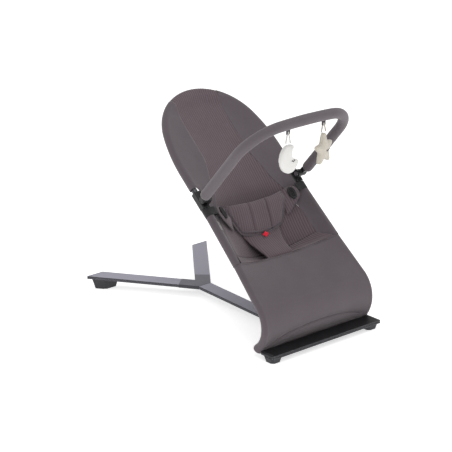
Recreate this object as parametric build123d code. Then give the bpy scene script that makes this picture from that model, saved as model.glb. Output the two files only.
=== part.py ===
from build123d import *
import math
import os

# A baby's bouncer seat. A flat crossbar, a spine and two rear arms stand on four feet.
# A tube loop with a fabric cover leans back from a hinge behind the crossbar, with a
# padded toy arch over it. All lengths are in millimetres. +X is across the seat, +Y runs
# to the head end, +Z is up, and the origin is on the floor under the middle of the base.

# ---- driving dimensions: base ----
BASE_LENGTH = 770
BAR_LENGTH = 400
BAR_DEPTH = 52
BAR_BOTTOM = 16
BAR_THICK = 10
BAR_WALL = 1.8
BAR_CAP = 6
SPINE_WIDTH = 44
SPINE_THICK = 9
SPINE_TOP = 15.5
SPINE_RISE = 1.875
SPINE_TUCK = 28
SPINE_END = 460
NOTCH = 503
ARM_ANGLE = 38.4
ARM_CAP = 3
HUB_REACH = 40
HUB_PROUD = 0.8
CHANNEL_WEB = 1.5
CHANNEL_WALL = 2
CHANNEL_DEEP = 5.4
GROOVE_DEEP = 1
GROOVE_HIGH = 3
TENON_LONG = 26
TENON_GAP = 0.15
SCREW_R = 2.5
SCREW_HOLE_R = 2.6
SCREW_HEAD_R = 4.6

# ---- driving dimensions: seat frame ----
SEAT_ANGLE = 41.2
SEAT_Y = 20
SEAT_Z = 147
TUBE_R = 8
TUBE_WALL = 1.5
SLEEVE_R = 10
SLEEVE_GAP = 0.25
HINGE_Y = 16
HINGE_Z = 25
HINGE_HALF = 186
RUN_FIT = 0.05
BODY_GAP = 0.4
BEND_R = 78
BEND_Y = -40.2
BEND_Z = 94.3
BEND_X = 196.5
BEND_START = -4.9
HEM_X = 192
LOOP_X = 172
LOOP_STRAIGHT = 430
LOOP_SIDE_R = 406
LOOP_SIDE_TURN = 18
COUPLER_LOW = 313
COUPLER_HIGH = 365
CLOTH = 3
APRON_CLOTH = 2
APRON_OUT = 8
TOGGLE_X = 128
TOGGLE_S = 287
WING_TILT = 30

# ---- driving dimensions: toy arch ----
ARCH_S = 330
ARCH_PIVOT = 24
ARCH_X = 187
ARCH_CORNER_X = 185
ARCH_CORNER = 326
ARCH_TOP = 343
ARCH_CORNER_R = 105
ARCH_CROWN_R = 900
ARCH_TUBE_R = 7
ARCH_SLEEVE_R = 14
ARCH_SLEEVE_START = 42
TOY_X = 64
TOY_PIVOT_DROP = 22
TOY_THICK = 22
MOON_TOP_DROP = 52
MOON_TALL = 86
STAR_TOP_DROP = 48
STAR_TALL = 88
STAR_TURN = 18

# ---- driving dimensions: recline lock ----
SECTOR_X = 30
SECTOR_THICK = 4
SECTOR_R = 45
SLOT_R = 36
PIN_R = 3
PIN_ANGLE = 45
RECLINE = 35
RECLINE_STOPS = (0, 12, 24, 35)
CHEEK_X = 24
CHEEK_THICK = 4
BEARING_X = (90, 115)
BEARING_R = 11.4

BAR_BACK = -BASE_LENGTH / 2 + BAR_DEPTH
RISE = math.radians(SPINE_RISE)
ARM = math.radians(ARM_ANGLE)
ARM_DIR = Vector(math.sin(ARM), math.cos(ARM))
ARM_SIDE = Vector(math.cos(ARM), -math.sin(ARM))
REAR = (BASE_LENGTH - BAR_DEPTH - SPINE_THICK * math.sin(RISE)) / math.cos(RISE)
ARM_END = REAR - ARM_CAP
TILT = math.radians(SEAT_ANGLE)

# The flat bars are drawn in this plane: x across, y along the spine, top face at 0.
base_plane = Plane(
    origin=(0, BAR_BACK, SPINE_TOP),
    x_dir=(1, 0, 0),
    z_dir=(0, -math.sin(RISE), math.cos(RISE)),
)
# The seat's frame is drawn in this plane: x across, y up the back, z towards the baby.
seat_plane = Plane(
    origin=(0, BAR_BACK + SEAT_Y, SEAT_Z),
    x_dir=(1, 0, 0),
    z_dir=(0, -math.sin(TILT), math.cos(TILT)),
)
hinge_centre = Vector(0, BAR_BACK + HINGE_Y, HINGE_Z)


def save(name, shape):
    """Write one sub-part, as one solid or a group of separate solids."""
    solids = list(shape.solids())
    piece = solids[0] if len(solids) == 1 else Compound(children=solids)
    piece.label = name
    export_step(piece, "parts/" + name + ".step")


def save_pair(name, shape):
    """The shape is the +X one of a mirrored pair."""
    save(name + "_right", shape)
    save(name + "_left", mirror(shape, about=Plane.YZ))


def save_group(name, shapes):
    """Separate small pieces that share one file."""
    save(name, Compound(children=shapes))


def block(x0, x1, y0, y1, z0, z1):
    """A box between two corners."""
    box = Box(x1 - x0, y1 - y0, z1 - z0)
    return Pos((x0 + x1) / 2, (y0 + y1) / 2, (z0 + z1) / 2) * box


def rod(start, end, radius):
    """A round bar between two points."""
    start = Vector(start)
    axis = Vector(end) - start
    plane = Plane(origin=start, z_dir=axis)
    return plane * Cylinder(radius, axis.length, align=(Align.CENTER, Align.CENTER, Align.MIN))


def pipe(start, end, outer, inner):
    """A round tube between two points."""
    return rod(start, end, outer) - rod(start, end, inner)


def plate(points, low, high):
    """A flat outline given its thickness."""
    face = make_face(Polyline(*points, close=True))
    return Pos(0, 0, low) * extrude(face, high - low)


def both(shape):
    """The shape and its mirror image across the middle."""
    return [shape, mirror(shape, about=Plane.YZ)]


def seat_point(x, s, n):
    """A point given across the seat, up its back and out of its plane."""
    return seat_plane.from_local_coords((x, s, n))


def tube_along(path, outer, inner):
    """A round tube swept along a path of lines and tangent arcs."""
    start = Plane(origin=path @ 0, z_dir=path % 0)
    ring = start * (Circle(outer) - Circle(inner))
    return sweep(ring, path=path)


# ---------------------------------------------------------------- base
def arm_strip(t0, t1, w0, w1):
    """Corners of a strip on the right arm: t along it from the notch, w across it."""
    notch = Vector(0, NOTCH)
    corners = ((t0, w0), (t1, w0), (t1, w1), (t0, w1))
    return [notch + ARM_DIR * t + ARM_SIDE * w for t, w in corners]


def arm_reach(w, y):
    """How far along the arm the line at w across it meets a line across the base."""
    return (y - NOTCH + w * math.sin(ARM)) / math.cos(ARM)


def channel_widths(gap):
    """The two hollow channels across a bar, less a gap on each side."""
    half = SPINE_WIDTH / 2
    low = (CHANNEL_WALL + gap, half - CHANNEL_WEB - gap)
    high = (half + CHANNEL_WEB + gap, SPINE_WIDTH - CHANNEL_WALL - gap)
    return low, high


def channel_heights(gap):
    """Bottom and top of the hollow channels under the bar's top face."""
    middle = -SPINE_THICK / 2
    return middle - CHANNEL_DEEP / 2 + gap, middle + CHANNEL_DEEP / 2 - gap


def make_spine():
    half = SPINE_WIDTH / 2
    body = block(-half, half, -SPINE_TUCK, SPINE_END, -SPINE_THICK, 0)
    low, high = channel_heights(0)
    for w0, w1 in channel_widths(0):
        body -= block(w0 - half, w1 - half, -SPINE_TUCK - 1, SPINE_END + 1, low, high)
    middle = -SPINE_THICK / 2
    for side in (-half, half):
        body -= block(
            side - GROOVE_DEEP, side + GROOVE_DEEP, -SPINE_TUCK - 1, SPINE_END + 1,
            middle - GROOVE_HIGH / 2, middle + GROOVE_HIGH / 2,
        )
    for x, y in hub_screw_places()[0]:
        body -= rod((x, y, -12), (x, y, -4), SCREW_HOLE_R)
    body = base_plane * body
    for x, y in spine_screw_places():
        body -= rod((x, y, 0), (x, y, 40), SCREW_HOLE_R)
    for x, y in lock_screw_places():
        body -= rod((x, y, 12), (x, y, 30), SCREW_HOLE_R)
    return body


def make_arm():
    inner_end = arm_reach(0, ARM_END)
    outer_end = arm_reach(SPINE_WIDTH, ARM_END)
    near = arm_strip(HUB_REACH, inner_end, 0, SPINE_WIDTH)
    far = arm_strip(HUB_REACH, outer_end, 0, SPINE_WIDTH)
    body = plate([near[0], near[1], far[2], near[3]], -SPINE_THICK, 0)
    low, high = channel_heights(0)
    for w0, w1 in channel_widths(0):
        body -= plate(arm_strip(0, 400, w0, w1), low, high)
    middle = -SPINE_THICK / 2
    for side in (0, SPINE_WIDTH):
        strip = arm_strip(0, 400, side - GROOVE_DEEP, side + GROOVE_DEEP)
        body -= plate(strip, middle - GROOVE_HIGH / 2, middle + GROOVE_HIGH / 2)
    for x, y in hub_screw_places()[1]:
        body -= rod((x, y, -12), (x, y, -4), SCREW_HOLE_R)
    body = base_plane * body
    foot = rear_foot_centre()
    return body - rod((foot.X, foot.Y, 0), (foot.X, foot.Y, 34), SCREW_HOLE_R)


def make_arm_cap():
    """A thin moulded cap on the cut end of the arm, with two plugs in its channels."""
    ends = [
        Vector(0, NOTCH) + ARM_DIR * arm_reach(w, y) + ARM_SIDE * w
        for w, y in ((0, ARM_END), (0, REAR), (SPINE_WIDTH, REAR), (SPINE_WIDTH, ARM_END))
    ]
    body = plate(ends, -SPINE_THICK, 0)
    body = chamfer(body.faces().sort_by(Axis.Y)[-1].edges(), 1)
    low, high = channel_heights(TENON_GAP)
    for w0, w1 in channel_widths(TENON_GAP):
        start = arm_reach(w0, ARM_END) - 8
        strip = arm_strip(start, arm_reach(w1, ARM_END), w0, w1)
        plug = plate(strip, low, high) - block(0, 400, ARM_END, REAR + 40, -20, 20)
        body += plug
    return base_plane * body


def make_hub():
    """The cast joint of the spine and both arms, with tenons in their channels."""
    half = SPINE_WIDTH / 2
    right = arm_strip(HUB_REACH, HUB_REACH, 0, SPINE_WIDTH)
    outline = [
        Vector(half, SPINE_END), right[3], right[0], Vector(0, NOTCH),
        Vector(-right[0].X, right[0].Y), Vector(-right[3].X, right[3].Y),
        Vector(-half, SPINE_END),
    ]
    body = plate(outline, -SPINE_THICK - HUB_PROUD, HUB_PROUD)
    body = chamfer(body.faces().sort_by(Axis.Z)[-1].edges(), 0.6)
    low, high = channel_heights(TENON_GAP)
    for w0, w1 in channel_widths(TENON_GAP):
        body += block(w0 - half, w1 - half, SPINE_END - TENON_LONG, SPINE_END + 8, low, high)
        tenon = plate(arm_strip(HUB_REACH - 8, HUB_REACH + TENON_LONG, w0, w1), low, high)
        body += both(tenon)
    return base_plane * body


def hub_screw_places():
    """Where the joint's screws go, in the bars' plane: two in the spine, two in the arm."""
    spine = [(x, SPINE_END - 12) for x in (-11, 11)]
    arm = []
    for w in (11, 33):
        spot = Vector(0, NOTCH) + ARM_DIR * (HUB_REACH + 12) + ARM_SIDE * w
        arm.append((spot.X, spot.Y))
    return spine, arm


def make_hub_screws():
    """Six pan heads under the joint, two for each bar that it holds."""
    spine, arm = hub_screw_places()
    screws = [base_plane * pan_screw(x, y, -SPINE_THICK, 1.5) for x, y in spine]
    for x, y in arm:
        screws += both(base_plane * pan_screw(x, y, -SPINE_THICK, 1.5))
    return screws


def pan_screw(x, y, z, length):
    """A pan head under z with its shank going up."""
    head = rod((x, y, z - 1.6), (x, y, z), SCREW_HEAD_R)
    head -= block(x - 3, x + 3, y - 0.5, y + 0.5, z - 1.7, z - 0.9)
    return head + rod((x, y, z - 0.5), (x, y, z + length), SCREW_R)


def make_crossbar():
    top = BAR_BOTTOM + BAR_THICK
    front = BAR_BACK - BAR_DEPTH
    half = BAR_LENGTH / 2 - BAR_CAP
    body = block(-half, half, front, BAR_BACK, BAR_BOTTOM, top)
    body = chamfer(body.edges().filter_by(Axis.X), 0.8)
    for y0, y1 in bar_channels(0):
        z0 = BAR_BOTTOM + BAR_WALL
        body -= block(-half - 1, half + 1, y0, y1, z0, top - BAR_WALL)
    for y in (front, BAR_BACK):
        middle = (BAR_BOTTOM + top) / 2
        body -= block(
            -half - 1, half + 1, y - 1.2, y + 1.2,
            middle - GROOVE_HIGH / 2, middle + GROOVE_HIGH / 2,
        )
    for x, y in spine_screw_places() + bearing_screw_places() + front_foot_places():
        body -= rod((x, y, 0), (x, y, BAR_BOTTOM + 4), SCREW_HOLE_R)
    return body


def bar_channels(gap):
    """The crossbar's two hollow channels, front and back."""
    front = BAR_BACK - BAR_DEPTH
    middle = front + BAR_DEPTH / 2
    return (
        (front + 3 + gap, middle - CHANNEL_WEB - gap),
        (middle + CHANNEL_WEB + gap, BAR_BACK - 3 - gap),
    )


def make_crossbar_cap():
    """A cap with bevelled ends, plugged into the crossbar's channels."""
    top = BAR_BOTTOM + BAR_THICK
    front = BAR_BACK - BAR_DEPTH
    start = BAR_LENGTH / 2 - BAR_CAP
    body = block(start, BAR_LENGTH / 2, front, BAR_BACK, BAR_BOTTOM, top)
    body = chamfer(body.faces().sort_by(Axis.X)[-1].edges(), 3)
    for y0, y1 in bar_channels(TENON_GAP):
        z0 = BAR_BOTTOM + BAR_WALL + TENON_GAP
        body += block(start - 11, start + 0.5, y0, y1, z0, top - BAR_WALL - TENON_GAP)
    return body


def front_foot_places():
    y = BAR_BACK - 27
    return [(178, y), (-178, y)]


def tapered_foot(low, high, height):
    """A tapered block with cut corners between two outlines."""
    bottom = make_face(Polyline(*low, close=True))
    top = Pos(0, 0, height) * make_face(Polyline(*high, close=True))
    return loft([bottom, top], ruled=True)


def cut_corner_outline(x, y, half_x, half_y, cut):
    """A rectangle with cut corners."""
    return [
        (x - half_x + cut, y - half_y), (x + half_x - cut, y - half_y),
        (x + half_x, y - half_y + cut), (x + half_x, y + half_y - cut),
        (x + half_x - cut, y + half_y), (x - half_x + cut, y + half_y),
        (x - half_x, y + half_y - cut), (x - half_x, y - half_y + cut),
    ]


def make_front_foot():
    x, y = front_foot_places()[0]
    low = cut_corner_outline(x, y, 16, 16, 7)
    high = cut_corner_outline(x, y, 21, 20, 8)
    foot = tapered_foot(low, high, BAR_BOTTOM)
    foot -= rod((x, y, -1), (x, y, 6), SCREW_HEAD_R + 1)
    return foot - rod((x, y, 0), (x, y, 20), SCREW_HOLE_R)


def rear_foot_centre():
    """The foot's middle under the arm, in the model's frame."""
    centre = Vector(0, NOTCH) + ARM_DIR * arm_reach(SPINE_WIDTH / 2, 693)
    centre += ARM_SIDE * (SPINE_WIDTH / 2)
    return Vector(centre.X, centre.Y + BAR_BACK)


def make_rear_foot():
    """A tapered block in the arm's own shape, cut off under the arm's slope."""
    centre = rear_foot_centre()

    def outline(inset, half_y, cut):
        half_w = (SPINE_WIDTH / 2 - inset) / math.cos(ARM)
        lean = math.tan(ARM)
        points = []
        for k, (sx, sy) in enumerate(((-1, -1), (1, -1), (1, 1), (-1, 1))):
            y = sy * half_y
            x = sx * half_w + y * lean
            along = (x - sx * cut, y)
            away = (x - lean * sy * cut, y - sy * cut)
            pair = (away, along) if k % 2 == 0 else (along, away)
            points += [(centre.X + px, centre.Y + py) for px, py in pair]
        return points

    height = 34
    foot = tapered_foot(outline(6, 14, 5), outline(1.5, 19, 5), height)
    foot -= base_plane * block(0, 400, 400, 800, -SPINE_THICK, 40)
    x, y = centre.X, centre.Y
    foot -= rod((x, y, -1), (x, y, 16), SCREW_HEAD_R + 1)
    return foot - rod((x, y, 0), (x, y, 34), SCREW_HOLE_R)


def spine_screw_places():
    return [(x, BAR_BACK + y) for x in (-11, 11) for y in (-22, -8)]


def bearing_screw_places():
    return [(x, BAR_BACK + y) for x in (-102, 102) for y in (-30, -13)]


def lock_screw_places():
    return [(x, BAR_BACK + 62) for x in (-11, 11)]


def make_spine_wedge():
    """The wedge that levels the sloping spine against the crossbar."""
    wedge = block(-20, 20, BAR_BACK - SPINE_TUCK, BAR_BACK - 1, 10, BAR_BOTTOM)
    wedge -= base_plane * block(-30, 30, -60, 20, -SPINE_THICK, 0)
    wedge = wedge.solids().sort_by(Axis.Z)[-1]
    for x, y in spine_screw_places():
        wedge -= rod((x, y, 0), (x, y, 30), SCREW_HOLE_R)
    return wedge


def make_base_screws():
    """The pan screws under the feet, the spine and the hinge bearings."""
    screws = []
    for x, y in front_foot_places():
        screws.append(pan_screw(x, y, 6, 14))
    foot = rear_foot_centre()
    screws += both(pan_screw(foot.X, foot.Y, 16, 16))
    for x, y in spine_screw_places():
        drop = (BAR_BACK - y) * math.tan(RISE)
        screws.append(pan_screw(x, y, SPINE_TOP - SPINE_THICK - drop - 0.3, 13))
    for x, y in bearing_screw_places():
        screws.append(pan_screw(x, y, 10, 9))
    return screws


def make_hinge_bearing():
    """A saddle under the crossbar with a ring for the hinge tube."""
    x0, x1 = BEARING_X
    back = BAR_BACK
    flange = block(x0, x1, back - 38, back + 8, 10, BAR_BOTTOM)
    web = block(x0, x1, back + 4, back + 16, 10, 20)
    ring = rod((x0, hinge_centre.Y, HINGE_Z), (x1, hinge_centre.Y, HINGE_Z), BEARING_R)
    body = flange + web + ring
    body -= rod((0, hinge_centre.Y, HINGE_Z), (200, hinge_centre.Y, HINGE_Z), TUBE_R + RUN_FIT)
    for x, y in bearing_screw_places():
        body -= rod((x, y, 0), (x, y, 30), SCREW_HOLE_R)
    return body


# ---------------------------------------------------------------- recline hinge and lock
def on_sector(radius, degrees):
    """A point round the hinge axis: 0 degrees to the rear, 90 straight up."""
    angle = math.radians(degrees)
    return Vector(0, radius * math.cos(angle), radius * math.sin(angle)) + hinge_centre


pin_centre = on_sector(SLOT_R, PIN_ANGLE)


def across(centre, x0, x1, radius):
    """A round bar along X through a point of the side view."""
    return rod((x0, centre.Y, centre.Z), (x1, centre.Y, centre.Z), radius)


def make_hinge_tube():
    ends = ((-HINGE_HALF, hinge_centre.Y, HINGE_Z), (HINGE_HALF, hinge_centre.Y, HINGE_Z))
    return pipe(ends[0], ends[1], TUBE_R, TUBE_R - TUBE_WALL)


def make_recline_sector():
    """A plate fixed on the hinge tube, with an arc slot and a lobe for each position."""
    side = Plane(origin=hinge_centre + Vector(SECTOR_X, 0, 0), x_dir=(0, 1, 0), z_dir=(1, 0, 0))

    def polar(radius, degrees):
        angle = math.radians(degrees)
        return radius * math.cos(angle), radius * math.sin(angle)

    low, high = PIN_ANGLE - 13, PIN_ANGLE + RECLINE + 13
    rim = ThreePointArc(
        polar(SECTOR_R, low), polar(SECTOR_R, (low + high) / 2), polar(SECTOR_R, high)
    )
    fan = make_face(Line((0, 0), rim @ 0) + rim + Line(rim @ 1, (0, 0)))
    slot = SlotArc(CenterArc((0, 0), SLOT_R, PIN_ANGLE, RECLINE), 2 * (PIN_R + BODY_GAP))
    outline = fan - slot
    for stop in RECLINE_STOPS:
        outline -= Pos(*polar(SLOT_R + 1.5, PIN_ANGLE + stop)) * Circle(PIN_R + BODY_GAP)
    boss = Pos(0, 0, -1) * extrude(Circle(11), SECTOR_THICK + 7)
    bore = Pos(0, 0, -5) * extrude(Circle(TUBE_R), SECTOR_THICK + 20)
    return side * (extrude(outline, SECTOR_THICK) + boss - bore)


def make_lock_bracket():
    """An angle plate on the spine with a cheek that guides the locking pin."""
    foot = base_plane * block(-20, CHEEK_X + CHEEK_THICK, 33, 74, 0, 3)
    cheek = block(
        CHEEK_X, CHEEK_X + CHEEK_THICK, BAR_BACK + 33, BAR_BACK + 54,
        18.5, pin_centre.Z + 9,
    )
    body = foot + cheek - across(pin_centre, 0, 60, PIN_R + RUN_FIT)
    for x, y in lock_screw_places():
        body -= rod((x, y, 12), (x, y, 30), SCREW_HOLE_R)
    return body


def make_lock_screws():
    turned = Rot(180, 0, 0) * pan_screw(0, 0, 0, 5)
    return [Pos(x, y, 22.2) * turned for x, y in lock_screw_places()]


def make_plunger_sleeve():
    body = across(pin_centre, 4, CHEEK_X, 7)
    body -= across(pin_centre, 6, CHEEK_X + 1, 5.3)
    return body - across(pin_centre, 0, 10, PIN_R + RUN_FIT)


def make_plunger_spring():
    """Five turns of wire between the sleeve's end wall and the pin's collar."""
    wire = 0.5
    coil = Helix(pitch=2.5, height=12.5, radius=4.2)
    start = Plane(origin=coil @ 0, z_dir=coil % 0)
    body = sweep(start * Circle(wire), path=coil, is_frenet=True)
    return Plane(origin=(6.8, pin_centre.Y, pin_centre.Z), z_dir=(1, 0, 0)) * body


def make_plunger_pin():
    body = across(pin_centre, -8, SECTOR_X + SECTOR_THICK + 2, PIN_R)
    body = chamfer(body.faces().sort_by(Axis.X)[-1].edges(), 0.8)
    return body + across(pin_centre, 20, 22.5, 5)


def make_plunger_knob():
    body = across(pin_centre, -14, 2, 9)
    body = fillet(body.edges().filter_by(GeomType.CIRCLE), 2)
    for k in range(8):
        angle = math.radians(45 * k)
        spot = pin_centre + Vector(0, 10.2 * math.cos(angle), 10.2 * math.sin(angle))
        body -= across(spot, -20, 8, 2.2)
    return body - across(pin_centre, -8, 8, PIN_R)


# ---------------------------------------------------------------- seat frame
def lower_path():
    """Centre line of a lower side tube: up round the front bend, then up the back."""
    start = Vector(HEM_X, BAR_BACK + HINGE_Y, HINGE_Z)
    bend = Vector(BEND_X, BAR_BACK + BEND_Y, BEND_Z)
    up = (bend - start).normalized()
    return FilletPolyline(
        start + up * 13, bend, seat_point(179.5, 130, 0), seat_point(LOOP_X, 300, 0),
        seat_point(LOOP_X, 338, 0), radius=[BEND_R, 1200, 800],
    )


def loop_path(start_s):
    """Centre line of the upper loop, a flat oval in the seat's plane."""
    turn = math.radians(LOOP_SIDE_TURN)
    side_x = LOOP_X - LOOP_SIDE_R
    join = (side_x + LOOP_SIDE_R * math.cos(turn), LOOP_STRAIGHT + LOOP_SIDE_R * math.sin(turn))
    half = turn / 2
    mid = (side_x + LOOP_SIDE_R * math.cos(half), LOOP_STRAIGHT + LOOP_SIDE_R * math.sin(half))
    top_r = join[0] / math.cos(turn)
    top_s = join[1] - top_r * math.sin(turn) + top_r
    right = Line((LOOP_X, start_s), (LOOP_X, LOOP_STRAIGHT))
    right += ThreePointArc((LOOP_X, LOOP_STRAIGHT), mid, join)
    crown = ThreePointArc(join, (0, top_s), (-join[0], join[1]))
    left = ThreePointArc((-join[0], join[1]), (-mid[0], mid[1]), (-LOOP_X, LOOP_STRAIGHT))
    left += Line((-LOOP_X, LOOP_STRAIGHT), (-LOOP_X, start_s))
    return seat_plane * Wire((right + crown + left).edges())


def make_corner_elbow():
    """A moulded corner: a bearing on the hinge tube's end and a spigot in the side tube."""
    start = Vector(HEM_X, BAR_BACK + HINGE_Y, HINGE_Z)
    up = (Vector(BEND_X, BAR_BACK + BEND_Y, BEND_Z) - start).normalized()
    body = across(hinge_centre, 168, HEM_X, SLEEVE_R)
    body += Pos(start.X, start.Y, start.Z) * Sphere(SLEEVE_R)
    body += rod(start, start + up * 12.8, SLEEVE_R - 0.5)
    body += rod(start, start + up * 21, TUBE_R - TUBE_WALL - 0.7)
    return body - across(hinge_centre, 160, HINGE_HALF + 0.4, TUBE_R + RUN_FIT)


def make_coupler():
    """Joins the lower tube to the loop and carries the toy arch's pivot on a lug."""
    low, high = COUPLER_LOW, COUPLER_HIGH
    body = block(LOOP_X - 12, LOOP_X + 11, low, high, -11, 11)
    body = fillet(body.edges().filter_by(Axis.Y), 4.5)
    lug = block(160, 169.5, ARCH_S - 11, ARCH_S + 11, 6, ARCH_PIVOT)
    lug += rod((160, ARCH_S, ARCH_PIVOT), (169.5, ARCH_S, ARCH_PIVOT), 11)
    body += lug
    body -= rod((160, ARCH_S, ARCH_PIVOT), (200, ARCH_S, ARCH_PIVOT), 4 + RUN_FIT)
    body -= rod((150, ARCH_S, ARCH_PIVOT), (180, ARCH_S, ARCH_PIVOT), 4 + RUN_FIT)
    body -= rod((LOOP_X, low - 1, 0), (LOOP_X, high + 1, 0), TUBE_R + RUN_FIT)
    for s in (low + 8, high - 8):
        body -= rod((LOOP_X, s, -12), (LOOP_X, s, -7), SCREW_R - 1)
    return seat_plane * body


def make_coupler_screws():
    """Two small screws on the back of each coupler."""
    screws = []
    for s in (COUPLER_LOW + 8, COUPLER_HIGH - 8):
        head = rod((LOOP_X, s, -12.4), (LOOP_X, s, -11), 3)
        shank = rod((LOOP_X, s, -11.2), (LOOP_X, s, -8.1), SCREW_R - 1)
        screws += both(seat_plane * (head + shank))
    return screws


# ---------------------------------------------------------------- fabric cover
# Down the middle of the back: distance up the seat, half width of the ribbed panel,
# depth of its seam and depth of its middle under the frame's plane.
panel_stations = [
    (162, 146, -19, -76),
    (205, 143, -18, -69),
    (244, 139, -17, -57),
    (280, 132, -16, -46),
    (311, 124, -15, -37),
    (352, 105, -13, -27),
    (400, 93, -11, -20),
    (450, 78, -8, -15),
    (540, 77, -5, -9),
    (655, 77, -1, -2),
]


# Down the apron: distance up the seat, half width, height of its edge and of its middle.
apron_stations = [(126, 169, 4, -19), (95, 172, 5, -10), (50, 175, 7, -2), (0, 179, 8, 8)]


def rail_x(s):
    """Distance of the side tube's centre from the middle of the seat."""
    return LOOP_X + 7.5 * max(0, (300 - s) / 170)


def section_wire(s, points):
    """A closed outline across the seat: a line of points and the cloth under it."""
    top = [seat_point(x, s, n) for x, n in points]
    under = [seat_point(x, s, n - CLOTH) for x, n in reversed(points)]
    return Wire.make_polygon(top + under, close=True)


def loop_inside():
    """The space inside the upper loop's sleeve, as a thick slab."""
    inset = SLEEVE_R + SLEEVE_GAP
    turn = math.radians(LOOP_SIDE_TURN)
    radius = LOOP_SIDE_R - inset
    side_x = LOOP_X - LOOP_SIDE_R
    join = (side_x + radius * math.cos(turn), LOOP_STRAIGHT + radius * math.sin(turn))
    mid = (side_x + radius * math.cos(turn / 2), LOOP_STRAIGHT + radius * math.sin(turn / 2))
    top_r = join[0] / math.cos(turn)
    top_s = join[1] - top_r * math.sin(turn) + top_r
    side = side_x + radius
    wide = side + 20
    outline = Line((-wide, 90), (wide, 90)) + Line((wide, 90), (wide, 330))
    outline += Line((wide, 330), (side, 340)) + Line((side, 340), (side, LOOP_STRAIGHT))
    outline += ThreePointArc((side, LOOP_STRAIGHT), mid, join)
    outline += ThreePointArc(join, (0, top_s), (-join[0], join[1]))
    outline += ThreePointArc((-join[0], join[1]), (-mid[0], mid[1]), (-side, LOOP_STRAIGHT))
    outline += Line((-side, LOOP_STRAIGHT), (-side, 340)) + Line((-side, 340), (-wide, 330))
    outline += Line((-wide, 330), (-wide, 90))
    return seat_plane * (Pos(0, 0, -120) * extrude(make_face(outline), 200))


def make_centre_panel():
    """The ribbed panel down the middle of the back and the seat pocket."""
    wires = []
    for s, half, edge, middle in panel_stations:
        across_points = []
        for k in range(-3, 4):
            part = k / 3
            across_points.append((part * half, edge + (middle - edge) * (1 - part * part)))
        wires.append(section_wire(s, across_points))
    return Solid.make_loft(wires, ruled=True) & loop_inside()


def make_side_panel():
    """The plain panel between the ribbed panel's seam and the side tube."""
    wires = []
    for s, half, edge, _ in [(129, 151, -10, 0)] + panel_stations:
        outer = rail_x(s) - SLEEVE_R - SLEEVE_GAP
        if 270 < s < 410:
            outer = LOOP_X - 12.5
        inner = half + SLEEVE_GAP
        middle = (inner + outer) / 2
        wires.append(section_wire(s, [(inner, edge), (middle, edge * 0.6), (outer, -1)]))
    return Solid.make_loft(wires, ruled=True) & loop_inside()


def make_pocket_front():
    """The front wall of the pocket, from its lowest line up to the apron's edge."""
    outline = [(-140, -24), (-80, -54), (0, -73), (80, -54), (140, -24), (80, -24), (0, -30), (-80, -24)]
    lean = 0.55
    front = [seat_point(x, 131 - (n + 24) * lean, n) for x, n in outline]
    back = [seat_point(x, 134 - (n + 24) * lean, n) for x, n in outline]
    return Solid.make_loft(
        [Wire.make_polygon(front, close=True), Wire.make_polygon(back, close=True)], ruled=True
    )


def make_apron():
    """The plain front panel, sagging at its top edge between the side tubes."""
    wires = []
    for s, half, edge, middle in apron_stations:
        outer = []
        under = []
        for k in range(-2, 3):
            part = k / 2
            depth = edge + (middle - edge) * (1 - part * part)
            outer.append(seat_point(part * half, s, depth))
            under.insert(0, seat_point(part * half, s, depth - APRON_CLOTH))
        wires.append(Wire.make_polygon(outer + under, close=True))
    return Solid.make_loft(wires, ruled=True)


def make_apron_foot():
    """The apron round the front bend, with a flare down behind the crossbar."""
    centre = seat_point(0, BEND_START, -BEND_R)
    last = math.radians(207)
    first = TILT + math.radians(90)
    wire = []
    for out in (APRON_OUT, APRON_OUT - APRON_CLOTH):
        radius = BEND_R + out
        turns = [first, (first + last) / 2, last]
        top = seat_point(0, -0.3, out)
        spots = [(centre.Y + radius * math.cos(a), centre.Z + radius * math.sin(a)) for a in turns]
        wire.append(((top.Y, top.Z), spots))
    (outer_top, outer), (inner_top, inner) = wire
    outer_end = (BAR_BACK + 2.1, HINGE_Z - 1.5)
    inner_end = (BAR_BACK + 3.6, HINGE_Z - 0.2)
    outline = Line(outer_top, outer[0]) + ThreePointArc(*outer) + Line(outer[2], outer_end)
    outline += Line(outer_end, inner_end) + Line(inner_end, inner[2])
    outline += ThreePointArc(*reversed(inner)) + Line(inner[0], inner_top)
    outline += Line(inner_top, outer_top)
    return extrude(Plane.YZ * make_face(outline), 180, both=True)


def make_apron_hem():
    """Four tunnels of the apron's hem round the hinge tube, between its bearings."""
    spans = ((-164, -121), (-84, -24), (46, 84), (121, 164))
    tunnels = []
    for x0, x1 in spans:
        tunnels.append(
            across(hinge_centre, x0, x1, SLEEVE_R) - across(hinge_centre, x0, x1, TUBE_R + BODY_GAP)
        )
    return tunnels


def make_lower_sleeve():
    """The cover's tunnel round a lower side tube, open at the corner elbow."""
    start = Vector(HEM_X, BAR_BACK + HINGE_Y, HINGE_Z)
    bend = Vector(BEND_X, BAR_BACK + BEND_Y, BEND_Z)
    up = (bend - start).normalized()
    path = FilletPolyline(
        start + up * 13.2, bend, seat_point(179.5, 130, 0), seat_point(LOOP_X, 296, 0),
        seat_point(LOOP_X, COUPLER_LOW - 1, 0), radius=[BEND_R, 1200, 600],
    )
    return tube_along(path, SLEEVE_R, TUBE_R + SLEEVE_GAP)


# ---------------------------------------------------------------- harness
# Up the harness flap: distance up the seat, half width and depth of its edges.
flap_stations = [(222, 64, -47), (238, 84, -37), (262, 98, -25), (287, 108, -13), (305, 98, -6)]
strap_stations = [(142, 43, -33), (165, 46, -42), (195, 53, -50), (221, 62, -51)]


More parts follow.
